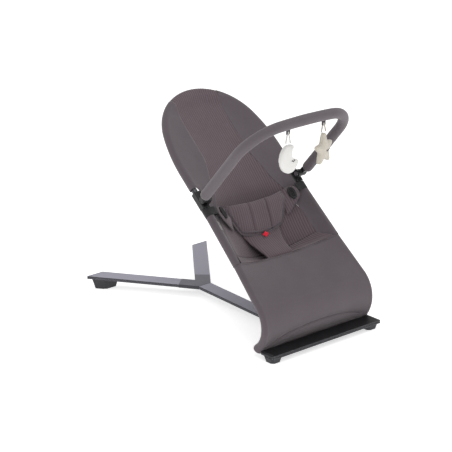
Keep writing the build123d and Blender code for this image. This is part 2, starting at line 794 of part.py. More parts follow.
def pad_loft(stations, thick, crown):
    """A pad across the seat that is thicker in the middle than at its edges."""
    wires = []
    for s, half, low in stations:
        points = [
            (-half, low), (0, low), (half, low), (half, low + thick * 0.5),
            (half * 0.6, low + thick), (0, low + thick + crown), (-half * 0.6, low + thick),
            (-half, low + thick * 0.5),
        ]
        wires.append(Wire.make_polygon([seat_point(x, s, n) for x, n in points], close=True))
    return Solid.make_loft(wires, ruled=True)


def turn_in(body):
    """Turns a flat harness piece about the line up the seat through the toggle's middle."""
    return seat_plane * (Pos(TOGGLE_X, 0, 0) * Rot(0, -WING_TILT, 0) * Pos(-TOGGLE_X, 0, 0) * body)


def make_harness_wing():
    """The side tab of the harness with a loop hole for the toggle, turned in to the baby."""
    body = block(TOGGLE_X - 19, TOGGLE_X + 20, TOGGLE_S - 19, TOGGLE_S + 19, -4, 0)
    body = fillet(body.edges().filter_by(Axis.Z), 9)
    body -= Pos(TOGGLE_X, TOGGLE_S, 0) * extrude(Ellipse(12, 15), 30, both=True)
    return turn_in(body)


def make_toggle():
    """An oval button with a bar for the webbing."""
    body = Pos(TOGGLE_X, TOGGLE_S, 0) * extrude(Ellipse(13.5, 19.5), 6)
    body = fillet(body.edges(), 1.8)
    for side in (-5, 5):
        x = TOGGLE_X + side
        body -= block(x - 2, x + 2, TOGGLE_S - 11, TOGGLE_S + 11, -1, 8)
    return turn_in(Pos(0, 0, 0.4) * body)


def make_side_strap():
    """Webbing round the side tube and in to the toggle."""
    ring = rod((LOOP_X, 286, 0), (LOOP_X, 311, 0), 12.2)
    ring -= rod((LOOP_X, 280, 0), (LOOP_X, 320, 0), SLEEVE_R + 0.6)
    tail = block(146, 162.5, 288, 309, 1.5, 3.5)
    tail -= rod((LOOP_X, 280, 0), (LOOP_X, 320, 0), 11)
    return seat_plane * (ring + tail)


def make_harness_tag():
    outline = [(-8, 214), (0, 206), (8, 214), (0, 222)]
    return seat_plane * (Pos(0, 0, -29) * plate(outline, 0, 1.2))


def make_care_label():
    """A small blank label sewn beside the left rail."""
    return seat_plane * block(-160, -148, 244, 268, -0.5, 0.1)


# ---------------------------------------------------------------- toy arch
def arch_path(start_n):
    """Centre line of the arch, in a plane square to the seat's back."""
    return FilletPolyline(
        seat_point(ARCH_X, ARCH_S, start_n), seat_point(ARCH_CORNER_X, ARCH_S, ARCH_CORNER),
        seat_point(0, ARCH_S, ARCH_TOP), seat_point(-ARCH_CORNER_X, ARCH_S, ARCH_CORNER),
        seat_point(-ARCH_X, ARCH_S, start_n), radius=[ARCH_CORNER_R, ARCH_CROWN_R, ARCH_CORNER_R],
    )


def make_end_fitting():
    """The arch's moulded foot: a disc at the pivot, a neck and a plug in the tube."""
    x0, x1 = 170, 188
    disc = rod((x0, ARCH_S, ARCH_PIVOT), (x1, ARCH_S, ARCH_PIVOT), 10)
    disc = fillet(disc.edges().filter_by(GeomType.CIRCLE), 1.5)
    neck = block(x0 + 4, x1 + 4, ARCH_S - 7, ARCH_S + 7, ARCH_PIVOT, ARCH_SLEEVE_START - 1)
    plug = rod((ARCH_X, ARCH_S, ARCH_PIVOT + 8), (ARCH_X, ARCH_S, 75), 5.2)
    body = disc + neck + plug
    body -= rod((150, ARCH_S, ARCH_PIVOT), (180, ARCH_S, ARCH_PIVOT), 4)
    return seat_plane * body


def make_pivot_pin():
    pin = rod((158, ARCH_S, ARCH_PIVOT), (180, ARCH_S, ARCH_PIVOT), 4)
    head = rod((156.5, ARCH_S, ARCH_PIVOT), (159.6, ARCH_S, ARCH_PIVOT), 6.5)
    return seat_plane * (pin + head)


def toy_hanger(x):
    """The arch's centre above a toy."""
    drop = (ARCH_TOP - ARCH_CORNER) * abs(x) / ARCH_CORNER_X
    return seat_point(x, ARCH_S, ARCH_TOP - drop)


def make_toy_tabs():
    """Two webbing tabs under the arch, each with an eye for a toy's ribbon."""
    tabs = []
    for x in (-TOY_X, TOY_X):
        top = toy_hanger(x)
        tab = block(x - 6, x + 6, top.Y - 1.5, top.Y + 1.5, top.Z - 27, top.Z - 14.6)
        eye = top.Z - TOY_PIVOT_DROP
        tabs.append(tab - rod((x - 9, top.Y, eye), (x + 9, top.Y, eye), 0.9))
        tabs[-1] -= block(x - 3.6, x + 3.6, top.Y - 5, top.Y + 5, top.Z - 30, eye + 2.4)
    return tabs


def make_ribbon(x, drop):
    """A folded ribbon on the tab's eye, down to the toy, with the cross thread it hangs on."""
    top = toy_hanger(x)
    eye = top.Z - TOY_PIVOT_DROP
    ribbon = block(x - 3, x + 3, top.Y - 1, top.Y + 1, top.Z - drop, eye + 1)
    return ribbon + rod((x - 5.4, top.Y, eye), (x + 5.4, top.Y, eye), 0.5)


def make_moon():
    """A crescent that opens to the right."""
    top = toy_hanger(-TOY_X)
    outer_r = MOON_TALL / 2
    disc = Circle(outer_r) - Pos(outer_r * 0.62, 0) * Circle(outer_r * 0.72)
    body = extrude(disc, TOY_THICK / 2, both=True)
    body -= block(outer_r * 0.5, outer_r, -80, 80, -40, 40)
    plane = Plane(origin=(-TOY_X + 10, top.Y, top.Z - MOON_TOP_DROP - outer_r), x_dir=(1, 0, 0),
                  z_dir=(0, -1, 0))
    return plane * body


def make_star():
    """A plump star with five blunt points, turned a little to the right."""
    top = toy_hanger(TOY_X)
    radius = STAR_TALL / (1 + math.cos(math.radians(36)))
    points = []
    for k in range(10):
        angle = math.radians(90 + 36 * k)
        reach = radius if k % 2 == 0 else radius * 0.52
        points.append((reach * math.cos(angle), reach * math.sin(angle)))
    body = extrude(make_face(Polyline(*points, close=True)), TOY_THICK / 2, both=True)
    body = fillet(body.edges().filter_by(Axis.Z), 5)
    turn = math.radians(STAR_TURN)
    plane = Plane(origin=(TOY_X, top.Y, top.Z - STAR_TOP_DROP - radius),
                  x_dir=(math.cos(turn), math.sin(turn), 0),
                  z_dir=(math.sin(turn), -math.cos(turn), 0))
    return plane * body


# ---------------------------------------------------------------- write the sub-parts
os.makedirs("parts", exist_ok=True)

save("front_crossbar", make_crossbar())
save_group("crossbar_caps", both(make_crossbar_cap()))
save_pair("front_foot", make_front_foot())
save("spine", make_spine())
save("spine_wedge", make_spine_wedge())
save("arm_hub", make_hub())
save_group("hub_screws", make_hub_screws())
save_pair("rear_arm", make_arm())
save_group("arm_caps", both(make_arm_cap()))
save_pair("rear_foot", make_rear_foot())
save_group("base_screws", make_base_screws() + make_lock_screws())
save_pair("hinge_bearing", make_hinge_bearing())

save("hinge_tube", make_hinge_tube())
save("recline_sector", make_recline_sector())
save("lock_bracket", make_lock_bracket())
save("plunger_sleeve", make_plunger_sleeve())
save("plunger_spring", make_plunger_spring())
save("plunger_pin", make_plunger_pin())
save("plunger_knob", make_plunger_knob())

save_pair("corner_elbow", make_corner_elbow())
save_pair("lower_tube", tube_along(lower_path(), TUBE_R, TUBE_R - TUBE_WALL))
save("upper_tube", tube_along(loop_path(340), TUBE_R, TUBE_R - TUBE_WALL))
save_pair("tube_coupler", make_coupler())
save_group("coupler_screws", make_coupler_screws())

save("centre_panel", make_centre_panel())
save_pair("side_panel", make_side_panel())
save("pocket_front", make_pocket_front())
save("apron", make_apron())
save("apron_foot", make_apron_foot())
save_group("apron_hem", make_apron_hem())
save_pair("lower_sleeve", make_lower_sleeve())
save("upper_sleeve", tube_along(loop_path(COUPLER_HIGH + 1), SLEEVE_R, TUBE_R + SLEEVE_GAP))
save("care_label", make_care_label())

save("harness_flap", pad_loft(flap_stations, 8, 4))
save("crotch_strap", pad_loft(strap_stations, 4, 1))
save_group("harness_wings", both(make_harness_wing()))
save_pair("toggle", make_toggle())
save_pair("side_strap", make_side_strap())
save("harness_tag", make_harness_tag())

save("arch_tube", tube_along(arch_path(ARCH_SLEEVE_START), ARCH_TUBE_R, 5.5))
save("arch_sleeve", tube_along(arch_path(ARCH_SLEEVE_START), ARCH_SLEEVE_R, ARCH_TUBE_R + SLEEVE_GAP))
save_pair("arch_fitting", make_end_fitting())
save_group("arch_pins", both(make_pivot_pin()))
save_group("toy_tabs", make_toy_tabs())
save("moon_plush", make_moon())
save("moon_ribbon", make_ribbon(-TOY_X, MOON_TOP_DROP - 0.5))
save("star_plush", make_star())
save("star_ribbon", make_ribbon(TOY_X, STAR_TOP_DROP - 0.5))
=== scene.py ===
import math

import bmesh
import bpy
import numpy as np
from mathutils import Matrix, Vector, noise
from mathutils.bvhtree import BVHTree


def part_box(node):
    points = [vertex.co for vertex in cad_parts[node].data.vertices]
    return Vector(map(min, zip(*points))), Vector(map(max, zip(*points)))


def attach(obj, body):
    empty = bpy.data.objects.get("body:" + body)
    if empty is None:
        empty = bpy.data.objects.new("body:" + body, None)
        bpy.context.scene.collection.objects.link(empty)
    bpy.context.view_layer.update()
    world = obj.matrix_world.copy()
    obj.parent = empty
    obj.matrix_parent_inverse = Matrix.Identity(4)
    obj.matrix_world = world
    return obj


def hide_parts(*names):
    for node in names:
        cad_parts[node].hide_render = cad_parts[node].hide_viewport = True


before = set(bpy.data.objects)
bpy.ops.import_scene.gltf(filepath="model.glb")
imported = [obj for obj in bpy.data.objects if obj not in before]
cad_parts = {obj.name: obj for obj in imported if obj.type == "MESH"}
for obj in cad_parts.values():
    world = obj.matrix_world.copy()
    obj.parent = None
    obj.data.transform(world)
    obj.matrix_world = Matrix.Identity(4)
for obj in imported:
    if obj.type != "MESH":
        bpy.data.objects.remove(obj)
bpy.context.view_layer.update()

# A baby's bouncer seat: the finished cover, harness, toy arch and toys round the frame.
# Shapes are worked out in millimetres and placed in metres.
MM = 0.001
BAR_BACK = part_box("front_crossbar")[1].y / MM

# ---- the seat's own frame: x across, s up the back, n out towards the baby ----
TILT = math.radians(41.2)
ACROSS = np.array((1.0, 0.0, 0.0))
UP = np.array((0.0, math.cos(TILT), math.sin(TILT)))
OUT = np.array((0.0, -math.sin(TILT), math.cos(TILT)))
SEAT_ORIGIN = np.array((0.0, BAR_BACK + 20, 147.0))

# ---- rails, loop and bend ----
RAIL_X = 172
LOOP_STRAIGHT = 430
SIDE_R = 406
SIDE_TURN = math.radians(18)
SIDE_X = RAIL_X - SIDE_R
CROWN_R = (SIDE_X + SIDE_R * math.cos(SIDE_TURN)) / math.cos(SIDE_TURN)
CROWN_S = LOOP_STRAIGHT + (SIDE_R - CROWN_R) * math.sin(SIDE_TURN)
BEND_R = 78
BEND_S = -4.9
WRAP_R = 10.2
SHOULDER = math.radians(110)
WRAP_END = math.radians(-165)
SHOULDER_IN = WRAP_R * math.cos(SHOULDER)
SHOULDER_N = WRAP_R * math.sin(SHOULDER)

# ---- cloth ----
CLOTH_THICK = 1.5
RIB_PITCH = 7.0
RIB_HIGH = 0.75
SEAM_X = 77
FLAP_THICK = 13

# ---- harness toggles: middle of each, and how far its wing is turned in ----
TOGGLE = (128, 287)
WING_TILT = math.radians(30)

# ---- apron: how sharply its sag rises at the sides ----
APRON_SAG = 2.3

# ---- toy arch: place up the seat, foot spread, height at its middle and at its bends ----
ARCH_S = 330
ARCH_HALF = 185
ARCH_TOP = 343
ARCH_FALL = 17
ARCH_FOOT = 44
SEAM_SUNK = 0.3
ARCH_R = 14.8
TOY_X = 64
TOY_EYE_DROP = 22

# Up the ribbed panel: distance, half width, depth of its seam and of its middle.
panel_stations = [
    (162, 146, -19, -76), (205, 143, -18, -69), (244, 139, -17, -57), (280, 132, -16, -46),
    (311, 124, -15, -37), (352, 105, -13, -27), (400, 93, -11, -20), (450, 78, -8, -15),
    (540, SEAM_X, -5, -9), (655, SEAM_X, -1, -2),
]
# Down the apron: distance up the seat and height of its middle.
apron_stations = [(128, -19), (95, -10), (50, -2), (0, 8), (BEND_S, 8)]
# Up the harness flap and the crotch strap: distance, half width and depth underneath.
flap_stations = [
    (211, 68, -51), (226, 75, -43), (242, 85, -35), (262, 96, -25), (287, 105, -13), (308, 99, -5),
]
strap_stations = [(131, 46, -29), (165, 49, -42), (195, 57, -50), (224, 67, -51)]


def seat(x, s, n):
    """A place in the model's frame, from one in the seat's own frame."""
    return SEAT_ORIGIN + ACROSS * x + UP * s + OUT * n


def stations_at(stations, s):
    """The stations' other values at s, on a smooth curve through them."""
    table = np.array(sorted(stations), float)
    at, values = table[:, 0], table[:, 1:]
    slopes = np.gradient(values, at, axis=0)
    k = int(np.clip(np.searchsorted(at, s) - 1, 0, len(at) - 2))
    h = at[k + 1] - at[k]
    t = min(max((s - at[k]) / h, 0.0), 1.0)
    start = values[k] * (2 * t**3 - 3 * t**2 + 1) + slopes[k] * h * (t**3 - 2 * t**2 + t)
    end = values[k + 1] * (3 * t**2 - 2 * t**3) + slopes[k + 1] * h * (t**3 - t**2)
    return start + end


def ease(t):
    """0 to 1, flat at both ends."""
    t = min(max(t, 0.0), 1.0)
    return t * t * (3 - 2 * t)


def rib(x):
    """Height of the ribbed cloth at x across it."""
    return RIB_HIGH * abs(math.cos(math.pi * x / RIB_PITCH)) ** 0.8


def across(points):
    """Signed length along a row of points from its middle."""
    lengths = along(np.array(points, float))
    return lengths - lengths[len(lengths) // 2]


def softness(x, s, amount):
    """The slow unevenness of stretched cloth."""
    return amount * noise.noise(Vector((x * 0.018, s * 0.014, 3.7)))


# ---------------------------------------------------------------- mesh makers
def finish_mesh(piece, closed):
    """Merges doubles and, on a closed piece, turns the faces outwards."""
    work = bmesh.new()
    work.from_mesh(piece.data)
    bmesh.ops.remove_doubles(work, verts=work.verts, dist=1e-6)
    bmesh.ops.dissolve_degenerate(work, edges=work.edges, dist=1e-7)
    if closed:
        bmesh.ops.recalc_face_normals(work, faces=work.faces)
    work.to_mesh(piece.data)
    work.free()
    piece.data.shade_smooth()
    return piece


def new_piece(name, points, faces, material):
    """An object whose mesh is placed in metres."""
    mesh = bpy.data.meshes.new(name)
    mesh.from_pydata([tuple(p) for p in np.array(points, float) * MM], [], faces)
    mesh.materials.append(material)
    piece = bpy.data.objects.new(name, mesh)
    bpy.context.scene.collection.objects.link(piece)
    return piece


def grid(name, rows, cloth, material, keep=None, closed=False, flip=False, ring=False):
    """Quads through rows of points, with the cloth's own lengths as its UV map.
    keep(i, j) leaves faces out, and ring joins the last column to the first."""
    rows = np.array(rows, float)
    cloth = np.array(cloth, float)
    height, width = rows.shape[:2]
    faces = []
    corners = []
    for i in range(height - 1):
        for j in range(width if ring else width - 1):
            if keep is not None and not keep(i, j):
                continue
            k = (j + 1) % width
            face = [(i, j), (i, k), (i + 1, k), (i + 1, j)]
            if flip:
                face.reverse()
            faces.append([a * width + b for a, b in face])
            corners += [cloth[a, b] for a, b in face]
    piece = new_piece(name, rows.reshape(-1, 3), faces, material)
    layer = piece.data.uv_layers.new(name="cloth")
    layer.data.foreach_set("uv", (np.array(corners) * MM).astype(np.float32).ravel())
    return finish_mesh(piece, closed)


def join(name, parts):
    """Several meshes as one piece."""
    for part in parts:
        part.select_set(False)
    with bpy.context.temp_override(
        active_object=parts[0], selected_editable_objects=parts, selected_objects=parts
    ):
        bpy.ops.object.join()
    parts[0].name = name
    return parts[0]


def thicken(piece, thick=CLOTH_THICK):
    """Gives an open sheet its thickness, on the side away from its faces."""
    solid = piece.modifiers.new("thickness", "SOLIDIFY")
    solid.thickness = thick * MM
    solid.offset = -1
    return piece


def mirrored(name, piece):
    """A copy on the other side of the seat."""
    twin = bpy.data.objects.new(name, piece.data.copy())
    bpy.context.scene.collection.objects.link(twin)
    twin.data.transform(Matrix.Diagonal((-1, 1, 1, 1)))
    twin.data.flip_normals()
    for modifier in piece.modifiers:
        copy = twin.modifiers.new(modifier.name, modifier.type)
        copy.thickness = modifier.thickness
        copy.offset = modifier.offset
    return twin


def rounded_path(corners, radii, step):
    """Points a step apart along straight runs joined by tangent arcs."""
    corners = [np.array(c, float) for c in corners]
    marks = [corners[0]]
    for k, radius in enumerate(radii):
        before, here, after = corners[k], corners[k + 1], corners[k + 2]
        a = (before - here) / np.linalg.norm(before - here)
        b = (after - here) / np.linalg.norm(after - here)
        half = math.acos(float(np.clip(a @ b, -1, 1))) / 2
        middle = (a + b) / np.linalg.norm(a + b)
        centre = here + middle * radius / math.sin(half)
        turn = math.pi - 2 * half
        count = max(2, int(radius * turn / step))
        for i in range(count + 1):
            swing = (i / count - 0.5) * turn
            side = (b - a) / np.linalg.norm(b - a)
            marks.append(centre + radius * (side * math.sin(swing) - middle * math.cos(swing)))
    marks.append(corners[-1])
    points = [marks[0]]
    for start, end in zip(marks, marks[1:]):
        length = np.linalg.norm(end - start)
        count = max(1, int(round(length / step)))
        points += [start + (end - start) * (i + 1) / count for i in range(count)]
    return np.array(points)


def along(points):
    """Distance along a line of points."""
    steps = np.linalg.norm(np.diff(points, axis=0), axis=1)
    return np.concatenate([[0], np.cumsum(steps)])


def frames_along(points, side):
    """Two directions square to the line at each point, the first kept near side."""
    tangents = np.gradient(points, axis=0)
    tangents /= np.linalg.norm(tangents, axis=1)[:, None]
    first = np.array(side, float) - tangents * (tangents @ np.array(side, float))[:, None]
    first /= np.linalg.norm(first, axis=1)[:, None]
    return first, np.cross(tangents, first)


def tube(name, points, radius, material, side=(0, 0, 1), sides=20, ends=True, swell=None):
    """A closed round tube along points. swell(distance, angle) adds to its radius."""
    points = np.array(points, float)
    first, second = frames_along(points, side)
    reach = along(points)
    rows = []
    cloth = []
    stops = [(0, share) for share in (0.0, 0.55, 0.85)] if ends else []
    stops += [(k, 1.0) for k in range(len(points))]
    stops += [(len(points) - 1, share) for share in (0.85, 0.55, 0.0)] if ends else []
    for k, share in stops:
        row = []
        for i in range(sides):
            angle = 2 * math.pi * i / sides
            r = radius + (swell(reach[k], angle) if swell else 0.0)
            spoke = first[k] * math.cos(angle) + second[k] * math.sin(angle)
            row.append(points[k] + spoke * r * share)
        rows.append(row)
        cloth.append([(2 * math.pi * i / sides * radius, reach[k]) for i in range(sides)])
    return grid(name, rows, cloth, material, closed=True, ring=True)


def apply_to_mesh(piece):
    """The piece as its modifiers leave it, as a plain mesh."""
    depsgraph = bpy.context.evaluated_depsgraph_get()
    mesh = bpy.data.meshes.new_from_object(piece.evaluated_get(depsgraph))
    piece.modifiers.clear()
    piece.data = mesh
    return piece


# ---------------------------------------------------------------- shader effects
def add(tree, kind, sockets=None, **settings):
    """A node with its settings, and its sockets given values or links."""
    made = tree.nodes.new(kind)
    for key, value in settings.items():
        setattr(made, key, value)
    for key, value in (sockets or {}).items():
        if isinstance(value, bpy.types.NodeSocket):
            tree.links.new(value, made.inputs[key])
        else:
            made.inputs[key].default_value = value
    return made


def maths(tree, operation, a, b=0.0, c=0.0):
    return add(tree, "ShaderNodeMath", {0: a, 1: b, 2: c}, operation=operation).outputs[0]


def effect(name, inputs, outputs):
    """An empty shader group, its input node and its output node."""
    tree = bpy.data.node_groups.new(name, "ShaderNodeTree")
    for label, kind in inputs:
        tree.interface.new_socket(label, in_out="INPUT", socket_type=kind)
    for label, kind in outputs:
        tree.interface.new_socket(label, in_out="OUTPUT", socket_type=kind)
    return tree, tree.nodes.new("NodeGroupInput"), tree.nodes.new("NodeGroupOutput")


VECTOR, NUMBER, COLOUR = "NodeSocketVector", "NodeSocketFloat", "NodeSocketColor"


def make_mottle():
    """Uneven dye: a colour with slow changes in its lightness."""
    tree, into, out = effect(
        "mottle", [("Vector", VECTOR), ("Colour", COLOUR), ("Scale", NUMBER), ("Amount", NUMBER)],
        [("Colour", COLOUR)],
    )
    cloud = add(tree, "ShaderNodeTexNoise", {
        "Vector": into.outputs["Vector"], "Scale": into.outputs["Scale"],
        "Detail": 4.0, "Roughness": 0.6,
    })
    swing = maths(tree, "SUBTRACT", cloud.outputs["Fac"], 0.5)
    value = maths(tree, "MULTIPLY_ADD", swing, into.outputs["Amount"], 1.0)
    tint = add(tree, "ShaderNodeHueSaturation", {"Color": into.outputs["Colour"], "Value": value})
    tree.links.new(tint.outputs[0], out.inputs["Colour"])
    return tree


def make_weave():
    """Crossing threads: their height and the fine ribs that they line up in."""
    tree, into, out = effect(
        "weave", [("Vector", VECTOR), ("Pitch", NUMBER)], [("Height", NUMBER), ("Shade", NUMBER)]
    )
    parts = add(tree, "ShaderNodeSeparateXYZ", {0: into.outputs["Vector"]})
    step = maths(tree, "DIVIDE", 2 * math.pi, into.outputs["Pitch"])
    warp = maths(tree, "SINE", maths(tree, "MULTIPLY", parts.outputs[0], step))
    weft = maths(tree, "SINE", maths(tree, "MULTIPLY", parts.outputs[1], step))
    crossing = maths(tree, "MULTIPLY", warp, weft)
    height = maths(tree, "MULTIPLY_ADD", crossing, 0.35, maths(tree, "MULTIPLY", warp, 0.15))
    stretch = add(tree, "ShaderNodeMapping", {0: into.outputs["Vector"], "Scale": (700, 45, 1)})
    slub = add(tree, "ShaderNodeTexNoise", {
        "Vector": stretch.outputs[0], "Scale": 1.0, "Detail": 2.0,
    })
    tree.links.new(maths(tree, "ADD", height, slub.outputs["Fac"]), out.inputs["Height"])
    shade = maths(tree, "MULTIPLY_ADD", slub.outputs["Fac"], 0.6, maths(tree, "MULTIPLY", height, 0.5))
    tree.links.new(shade, out.inputs["Shade"])
    return tree


def make_rib_knit():
    """Ribbed mesh: a mask of the valleys, and the short cross threads on the ribs."""
    tree, into, out = effect(
        "rib_knit", [("Vector", VECTOR), ("Rib", NUMBER), ("Tick", NUMBER)],
        [("Valley", NUMBER), ("Height", NUMBER)],
    )
    parts = add(tree, "ShaderNodeSeparateXYZ", {0: into.outputs["Vector"]})
    turn = maths(tree, "DIVIDE", math.pi, into.outputs["Rib"])
    swing = maths(tree, "COSINE", maths(tree, "MULTIPLY", parts.outputs[0], turn))
    wave = maths(tree, "ABSOLUTE", swing)
    valley = maths(tree, "POWER", maths(tree, "SUBTRACT", 1.0, wave), 1.6)
    tick_turn = maths(tree, "DIVIDE", 2 * math.pi, into.outputs["Tick"])
    tick = maths(tree, "SINE", maths(tree, "MULTIPLY", parts.outputs[1], tick_turn))
    fuzz = add(tree, "ShaderNodeTexNoise", {"Vector": into.outputs["Vector"], "Scale": 900.0})
    height = maths(tree, "MULTIPLY_ADD", maths(tree, "MULTIPLY", tick, wave), 0.4, fuzz.outputs["Fac"])
    tree.links.new(valley, out.inputs["Valley"])
    tree.links.new(height, out.inputs["Height"])
    return tree


def make_edge_wear_and_highlight():
    """A mask of the edges that hands and floors rub, also used to paint highlights along edges and groove
    lips.
    """
    tree, into, out = effect(
        "edge_wear_and_highlight", [("Vector", VECTOR), ("Sharpness", NUMBER)], [("Mask", NUMBER)]
    )
    rounded = add(tree, "ShaderNodeBevel", {"Radius": 0.0009}, samples=4)
    plain = add(tree, "ShaderNodeNewGeometry")
    facing = add(tree, "ShaderNodeVectorMath", {
        0: rounded.outputs[0], 1: plain.outputs["Normal"],
    }, operation="DOT_PRODUCT")
    bend = maths(tree, "SUBTRACT", 1.0, facing.outputs["Value"])
    rough = add(tree, "ShaderNodeTexNoise", {
        "Vector": into.outputs["Vector"], "Scale": 160.0, "Detail": 5.0,
    })
    broken = maths(tree, "MULTIPLY", bend, maths(tree, "MULTIPLY_ADD", rough.outputs["Fac"], 1.2, 0.3))
    mask = add(tree, "ShaderNodeClamp", {0: maths(tree, "MULTIPLY", broken, into.outputs["Sharpness"])})
    tree.links.new(mask.outputs[0], out.inputs["Mask"])
    return tree


def make_grain():
    """The fine skin of moulded plastic and powder coat."""
    tree, into, out = effect(
        "grain", [("Vector", VECTOR), ("Scale", NUMBER)], [("Height", NUMBER), ("Rough", NUMBER)]
    )
    fine = add(tree, "ShaderNodeTexNoise", {
        "Vector": into.outputs["Vector"], "Scale": into.outputs["Scale"], "Detail": 3.0,
    })
    broad = add(tree, "ShaderNodeTexNoise", {
        "Vector": into.outputs["Vector"], "Scale": 35.0, "Detail": 3.0,
    })
    tree.links.new(fine.outputs["Fac"], out.inputs["Height"])
    tree.links.new(broad.outputs["Fac"], out.inputs["Rough"])
    return tree


effects = {
    "mottle": make_mottle(), "weave": make_weave(), "rib_knit": make_rib_knit(),
    "edge_wear_and_highlight": make_edge_wear_and_highlight(), "grain": make_grain(),
}


# ---------------------------------------------------------------- materials
def srgb(red, green, blue):
    """A colour from 0 to 255 a channel, as the shaders take it."""
    parts = []
    for value in (red, green, blue):
        share = value / 255
        parts.append(share / 12.92 if share <= 0.04045 else ((share + 0.055) / 1.055) ** 2.4)
    return (*parts, 1.0)


def blank(name, roughness, constants=None):
    """A material with its shader, whose constant sockets are set here."""
    material = bpy.data.materials.new(name)
    material.use_nodes = True
    tree = material.node_tree
    shader = tree.nodes["Principled BSDF"]
    shader.inputs["Roughness"].default_value = roughness
    for key, value in (constants or {}).items():
        shader.inputs[key].default_value = value
    return material, tree, shader


def use(tree, name, **sockets):
    """One of the shared effects, with its values."""
    made = tree.nodes.new("ShaderNodeGroup")
    made.node_tree = effects[name]
    for key, value in sockets.items():
        if isinstance(value, bpy.types.NodeSocket):
            tree.links.new(value, made.inputs[key])
        else:
            made.inputs[key].default_value = value
    return made


def cloth_lengths(tree):
    return add(tree, "ShaderNodeUVMap", uv_map="cloth").outputs[0]


def object_place(tree):
    return add(tree, "ShaderNodeTexCoord").outputs["Object"]


def mix(tree, share, a, b, blend="MIX"):
    made = add(tree, "ShaderNodeMix", {0: share, 6: a, 7: b}, data_type="RGBA", blend_type=blend)
    return made.outputs[2]


def bump(tree, shader, height, strength, distance):
    made = add(tree, "ShaderNodeBump", {"Height": height, "Strength": strength, "Distance": distance})
    tree.links.new(made.outputs[0], shader.inputs["Normal"])


def plain_cloth(name, colour, pitch=0.0022):
    """Fine woven cotton blend."""
    material, tree, shader = blank(name, 0.88, {
        "Sheen Weight": 0.25, "Sheen Roughness": 0.55, "Specular IOR Level": 0.25,
    })
    where = cloth_lengths(tree)
    dye = use(tree, "mottle", Vector=where, Colour=colour, Scale=14.0, Amount=0.22)
    threads = use(tree, "weave", Vector=where, Pitch=pitch)
    dark = mix(tree, 1.0, dye.outputs[0], (0.8, 0.79, 0.8, 1), "MULTIPLY")
    base = mix(tree, threads.outputs["Shade"], dark, dye.outputs[0])
    lighter = add(tree, "ShaderNodeHueSaturation", {"Color": base, "Value": 1.08})
    tree.links.new(lighter.outputs[0], shader.inputs["Base Color"])
    rough = maths(tree, "MULTIPLY_ADD", threads.outputs["Shade"], 0.1, 0.82)
    tree.links.new(rough, shader.inputs["Roughness"])
    bump(tree, shader, threads.outputs["Height"], 0.5, 0.0003)
    return material


def ribbed_cloth(name, colour, valley_shade_colour):
    """Ribbed spacer mesh, deeper between its ribs, with painted shade darkening the grooves between them.
    """
    material, tree, shader = blank(name, 0.9, {
        "Sheen Weight": 0.3, "Sheen Roughness": 0.5, "Specular IOR Level": 0.2,
    })
    where = cloth_lengths(tree)
    dye = use(tree, "mottle", Vector=where, Colour=colour, Scale=16.0, Amount=0.2)
    knit = use(tree, "rib_knit", Vector=where, Rib=RIB_PITCH * MM, Tick=0.0042)
    # Painted shade: the valleys between the ribs take the darker colour.
    base = mix(tree, knit.outputs["Valley"], dye.outputs[0], valley_shade_colour)
    ticked = mix(tree, maths(tree, "MULTIPLY", knit.outputs["Height"], 0.35), base, valley_shade_colour)
    tree.links.new(ticked, shader.inputs["Base Color"])
    rough = maths(tree, "MULTIPLY_ADD", knit.outputs["Valley"], 0.08, 0.86)
    tree.links.new(rough, shader.inputs["Roughness"])
    bump(tree, shader, knit.outputs["Height"], 0.6, 0.0004)
    return material


def webbing_cloth(name, colour, pitch=0.0016):
    """Tight woven tape with a slight shine."""
    material, tree, shader = blank(name, 0.6, {"Sheen Weight": 0.1, "Specular IOR Level": 0.4})
    where = cloth_lengths(tree)
    threads = use(tree, "weave", Vector=where, Pitch=pitch)
    dye = use(tree, "mottle", Vector=where, Colour=colour, Scale=90.0, Amount=0.4)
    pale = mix(tree, 1.0, dye.outputs[0], (1.5, 1.5, 1.5, 1), "MULTIPLY")
    base = mix(tree, threads.outputs["Shade"], dye.outputs[0], pale)
    tree.links.new(base, shader.inputs["Base Color"])
    rough = maths(tree, "MULTIPLY_ADD", threads.outputs["Shade"], 0.2, 0.5)
    tree.links.new(rough, shader.inputs["Roughness"])
    bump(tree, shader, threads.outputs["Height"], 0.8, 0.0004)
    return material


def fleece(name, colour):
    """Short soft pile."""
    material, tree, shader = blank(name, 0.95, {
        "Sheen Weight": 0.6, "Sheen Roughness": 0.4, "Specular IOR Level": 0.1,
    })
    where = object_place(tree)
    dye = use(tree, "mottle", Vector=where, Colour=colour, Scale=60.0, Amount=0.12)
    pile = add(tree, "ShaderNodeTexNoise", {
        "Vector": where, "Scale": 700.0, "Detail": 4.0, "Roughness": 0.7,
    })
    depth = maths(tree, "MULTIPLY", pile.outputs["Fac"], 0.15)
    shade = mix(tree, depth, dye.outputs[0], (0.3, 0.28, 0.26, 1))
    tree.links.new(shade, shader.inputs["Base Color"])
    bump(tree, shader, pile.outputs["Fac"], 0.55, 0.0008)
    return material


